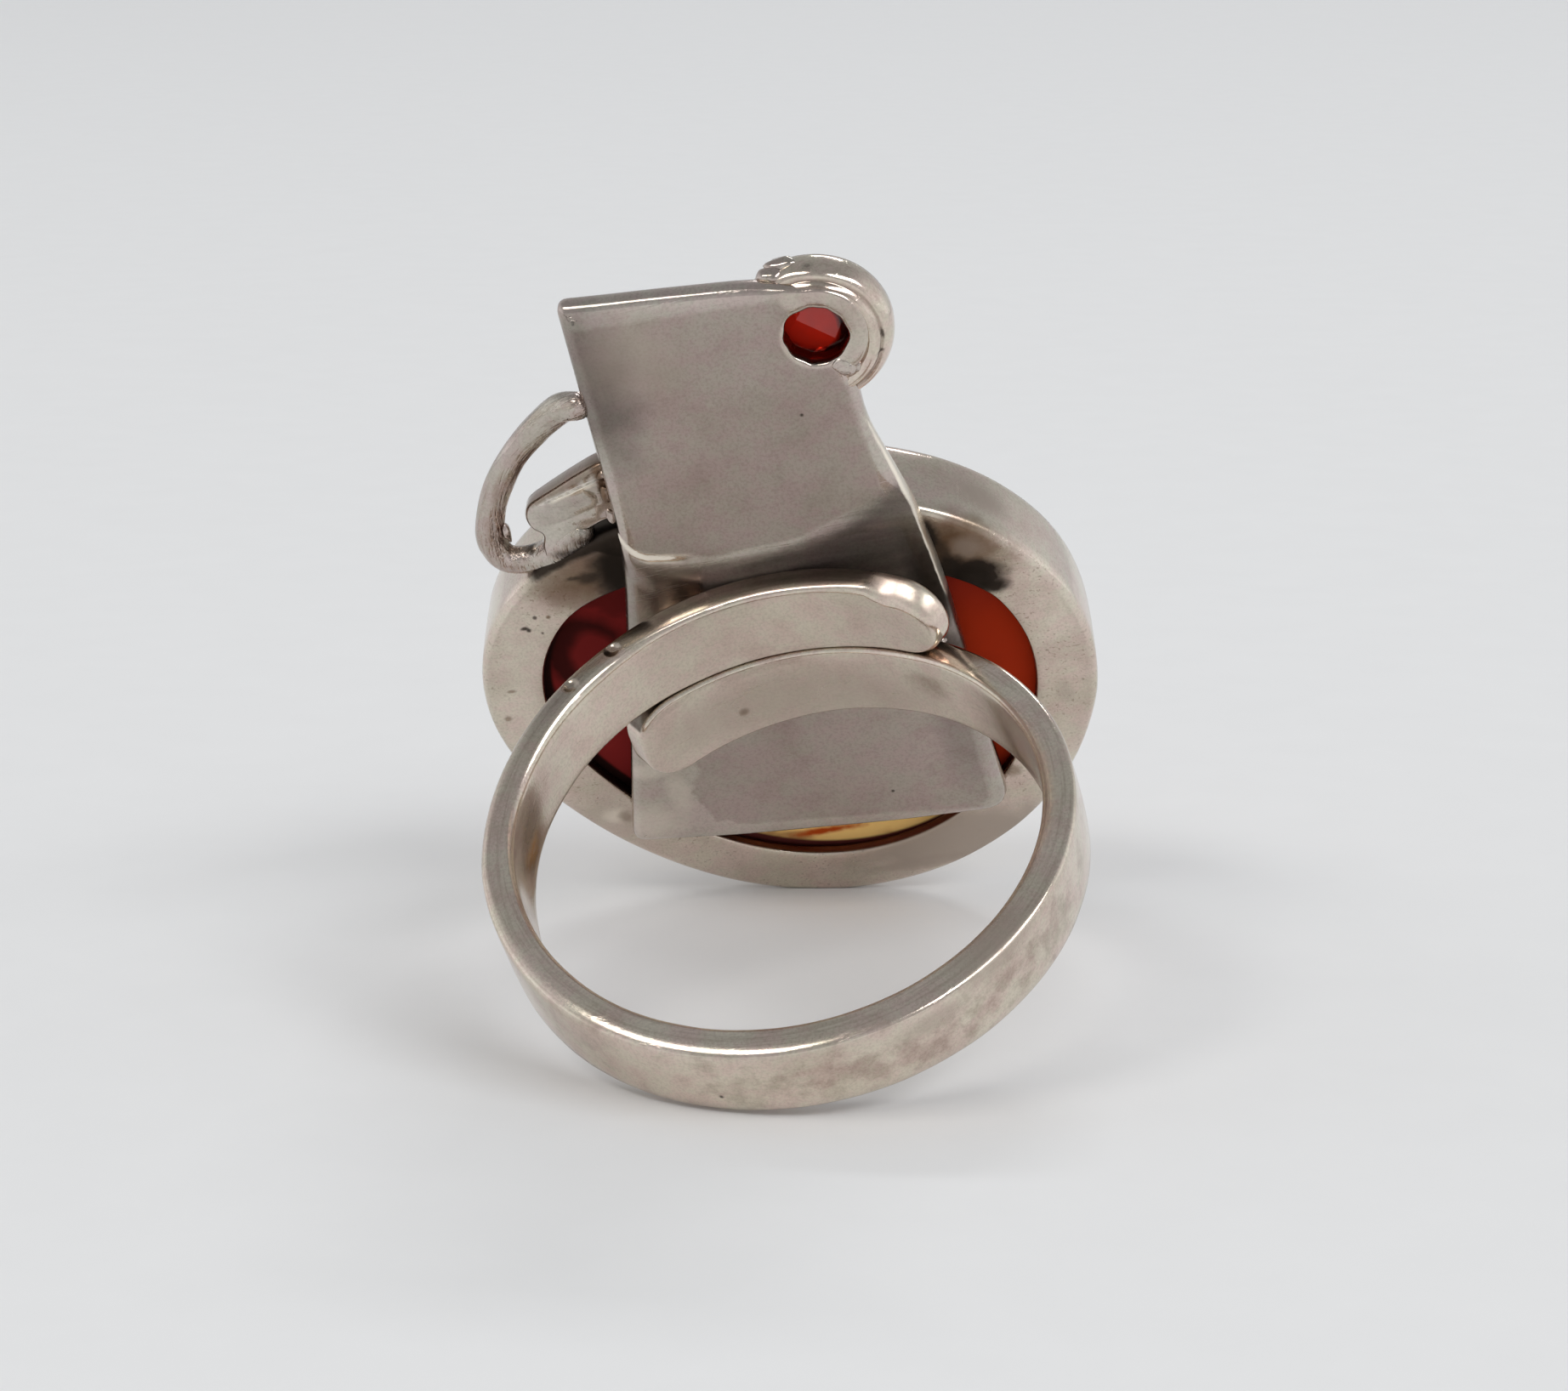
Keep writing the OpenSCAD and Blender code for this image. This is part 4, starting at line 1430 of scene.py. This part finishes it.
class BuildBezels(bpy.types.Operator):
    """Build the cups of the two stones"""

    bl_idname = "ring.build_bezels"
    bl_label = "Bezels"

    def execute(self, context):
        size = Layout(context.scene.ring_sizes)
        finish = context.scene.ring_finish
        layers = ((bezel_face, "worn_and_shaded_silver", 0.28, 0.05), (bezel_specks, "solder", 0.35, 0.1))
        # Painted shade and a painted dark red reflection on the wall of the opening, darker higher up, and
        # painted shade in the crevice under the scroll
        over = (
            (bezel_wall_shade, "recess_shade", 0.95, 0.25),
            (upper_wall_shade, "soot_and_shade", 0.9, 0.1),
            (bezel_crevice_shade, "soot_and_shade", 0.97, 0.2),
        )
        material = silver("bezel_silver", finish, size, BEZEL_STAINS_SHADE_AND_LIGHT, layers, over)
        add_silver("bezel_large", bezel_parts(size), material)
        # Painted shade and painted dark reflections in the small cup's grooves, and painted shade on the wall
        # of its hole
        layers = ((cup_groove_shade, "worn_and_shaded_silver", 1, 0.04), (hole_wall_shade, "soot_and_shade", 0.97, 0.1))
        material = silver("cup_silver", finish, size, CUP_STAINS, layers, polish=0.11)
        add_silver("bezel_small", small_bezel_parts(size), material)
        return {"FINISHED"}


class BuildScroll(bpy.types.Operator):
    """Build the scroll wire, its flattened leaf and the solder of all joints"""

    bl_idname = "ring.build_scroll"
    bl_label = "Scroll and Solder"

    def execute(self, context):
        size = Layout(context.scene.ring_sizes)
        finish = context.scene.ring_finish
        dirt = (scroll_specks, "solder", 0.5, 0.1)
        # A painted highlight along the leaf's crest
        crest_highlight = (leaf_highlight, "fresh_solder_and_highlight", 0.9, 0)
        looks = {"finish": finish, "size": size, "stains": SCROLL_STAINS_AND_SHADE, "base": "grey_silver"}
        layers = ((scroll_streaks, "worn_and_shaded_silver", 0.7, 0.04), dirt)
        material = silver("scroll_silver", layers=layers, relief=(scroll_grain,), polish=0.08, **looks)
        add_silver("scroll_wire", scroll_parts(size), material)
        layers = ((leaf_edge, "solder", 0.6, 0.04), dirt)
        relief = (leaf_crest,)
        material = silver("leaf_silver", layers=layers, over=(crest_highlight,), relief=relief, polish=0.1, **looks)
        add_silver("scroll_leaf", leaf_parts(size), material)
        material = silver("solder_silver", layers=(dirt,), polish=0.1, **looks)
        add_silver("solder_lumps", solder_parts(size), material)
        return {"FINISHED"}


class BuildStones(bpy.types.Operator):
    """Build the large cabochon and the small cut stone"""

    bl_idname = "ring.build_stones"
    bl_label = "Stones"

    def execute(self, context):
        size = Layout(context.scene.ring_sizes)
        finish = context.scene.ring_finish
        material = cabochon("orange_red_stone", finish, size)
        add_piece("stone_large", cabochon_parts(size), material, "main_stone")
        material = cut_red("clear_red_stone", finish, size)
        add_piece("stone_small", cut_stone_parts(size), material, "small_stone", flat=True)
        return {"FINISHED"}


class BuildStage(bpy.types.Operator):
    """Lay the floor, set the lights and place the camera"""

    bl_idname = "ring.build_stage"
    bl_label = "Stage"

    def execute(self, context):
        scene = context.scene
        stage = scene.ring_stage
        scene.view_settings.view_transform = "Standard"
        lay_floor(stage)
        light_stage(scene, stage)
        place_camera(scene, stage)
        return {"FINISHED"}


def lay_floor(stage):
    """A wide plain floor."""
    reach = 4
    mesh = bpy.data.meshes.new("floor")
    corners = [(-reach, -reach, 0), (reach, -reach, 0), (reach, reach, 0), (-reach, reach, 0)]
    mesh.from_pydata(corners, [], [(0, 1, 2, 3)])
    surface = Surface(bpy.data.materials.new("floor_paper"))
    grain = surface.cloud(surface.place(), 3, 3)
    darker = [0.97 * part for part in stage.floor]
    colour = surface.mix(grain, stage.floor, darker)
    mesh.materials.append(surface.finish(Base_Color=colour, Roughness=0.75, Specular_IOR_Level=0.3))
    floor = bpy.data.objects.new("floor", mesh)
    bpy.context.scene.collection.objects.link(floor)


def add_softbox(name, place, aim, width, height, power, colour):
    """A large rectangular light that points at a place."""
    lamp = bpy.data.lights.new(name, "AREA")
    lamp.shape = "RECTANGLE"
    lamp.size, lamp.size_y = width, height
    lamp.energy = power
    lamp.color = colour
    holder = bpy.data.objects.new(name, lamp)
    bpy.context.scene.collection.objects.link(holder)
    holder.location = place
    holder.rotation_euler = (Vector(aim) - Vector(place)).to_track_quat("-Z", "Y").to_euler()


def light_stage(scene, stage):
    """A pale room that is dimmer overhead, with three lamps round it."""
    world = bpy.data.worlds.new("studio")
    scene.world = world
    room = Surface(world)
    way = room.node("ShaderNodeTexCoord", output=0)
    side, ahead, up = room.parts(way)
    even, overhead, behind, beside, backdrop = 1.15, 0.5, 0.1, 0.7, 0.72
    bright = even - up.rise(0.0, 0.9) * overhead + ahead.rise(-1, 1) * behind
    bright = bright + abs(side).rise(0.55, 0.95) * beside
    seen = room.node("ShaderNodeLightPath", output=0)
    tint = (0.96, 0.98, 1.0, 1)
    lit = room.node("ShaderNodeBackground", None, {"Color": tint, "Strength": bright * stage.sky})
    plain = room.node("ShaderNodeBackground", None, {"Color": tint, "Strength": backdrop})
    both = room.node("ShaderNodeMixShader", None, {0: seen, 1: lit, 2: plain})
    room.node("ShaderNodeOutputWorld", None, {"Surface": both})
    middle = (0, 0, 0.01)
    warm, cool = (1, 0.98, 0.95), (0.97, 0.98, 1)
    add_softbox("lamp_left", (-0.8, -0.8, 1.3), middle, 0.95, 0.4, 1.2 * stage.key, warm)
    add_softbox("lamp_right", (0.9, -0.9, 1.1), middle, 1.3, 0.4, 1.8 * stage.key, cool)
    add_softbox("lamp_back", (0.25, 1.2, 1.2), middle, 0.6, 0.14, 0.7 * stage.key, cool)


def place_camera(scene, stage):
    """The camera at the photograph's angle."""
    camera = bpy.data.cameras.new("camera")
    camera.sensor_width = 36
    camera.lens = stage.lens
    camera.clip_start = 0.01
    camera.clip_end = 10
    holder = bpy.data.objects.new("camera", camera)
    scene.collection.objects.link(holder)
    place, aim = Vector(stage.camera_place), Vector(stage.camera_aim)
    holder.location = place
    holder.rotation_euler = (aim - place).to_track_quat("-Z", "Y").to_euler()
    scene.camera = holder


class RingPanel(bpy.types.Panel):
    """The ring's pieces and settings"""

    bl_idname = "VIEW3D_PT_gemstone_ring"
    bl_label = "Gemstone Ring"
    bl_space_type = "VIEW_3D"
    bl_region_type = "UI"
    bl_category = "Ring"

    def draw(self, context):
        for operator in OPERATORS:
            self.layout.operator(operator.bl_idname)
        for group in (context.scene.ring_sizes, context.scene.ring_finish, context.scene.ring_stage):
            box = self.layout.box()
            for name in group.__annotations__:
                box.prop(group, name)


OPERATORS = (BuildShank, BuildPlate, BuildBezels, BuildScroll, BuildStones, BuildStage)
GROUPS = {"ring_sizes": RingSizes, "ring_finish": RingFinish, "ring_stage": RingStage}


def register():
    for kind in (*GROUPS.values(), *OPERATORS, RingPanel):
        bpy.utils.register_class(kind)
    for name, group in GROUPS.items():
        setattr(bpy.types.Scene, name, PointerProperty(type=group))


def unregister():
    for name in GROUPS:
        delattr(bpy.types.Scene, name)
    for kind in reversed((*GROUPS.values(), *OPERATORS, RingPanel)):
        bpy.utils.unregister_class(kind)


def main():
    register()
    bpy.ops.ring.build_shank()
    bpy.ops.ring.build_plate()
    bpy.ops.ring.build_bezels()
    bpy.ops.ring.build_scroll()
    bpy.ops.ring.build_stones()
    bpy.ops.ring.build_stage()


if __name__ == "__main__":
    main()
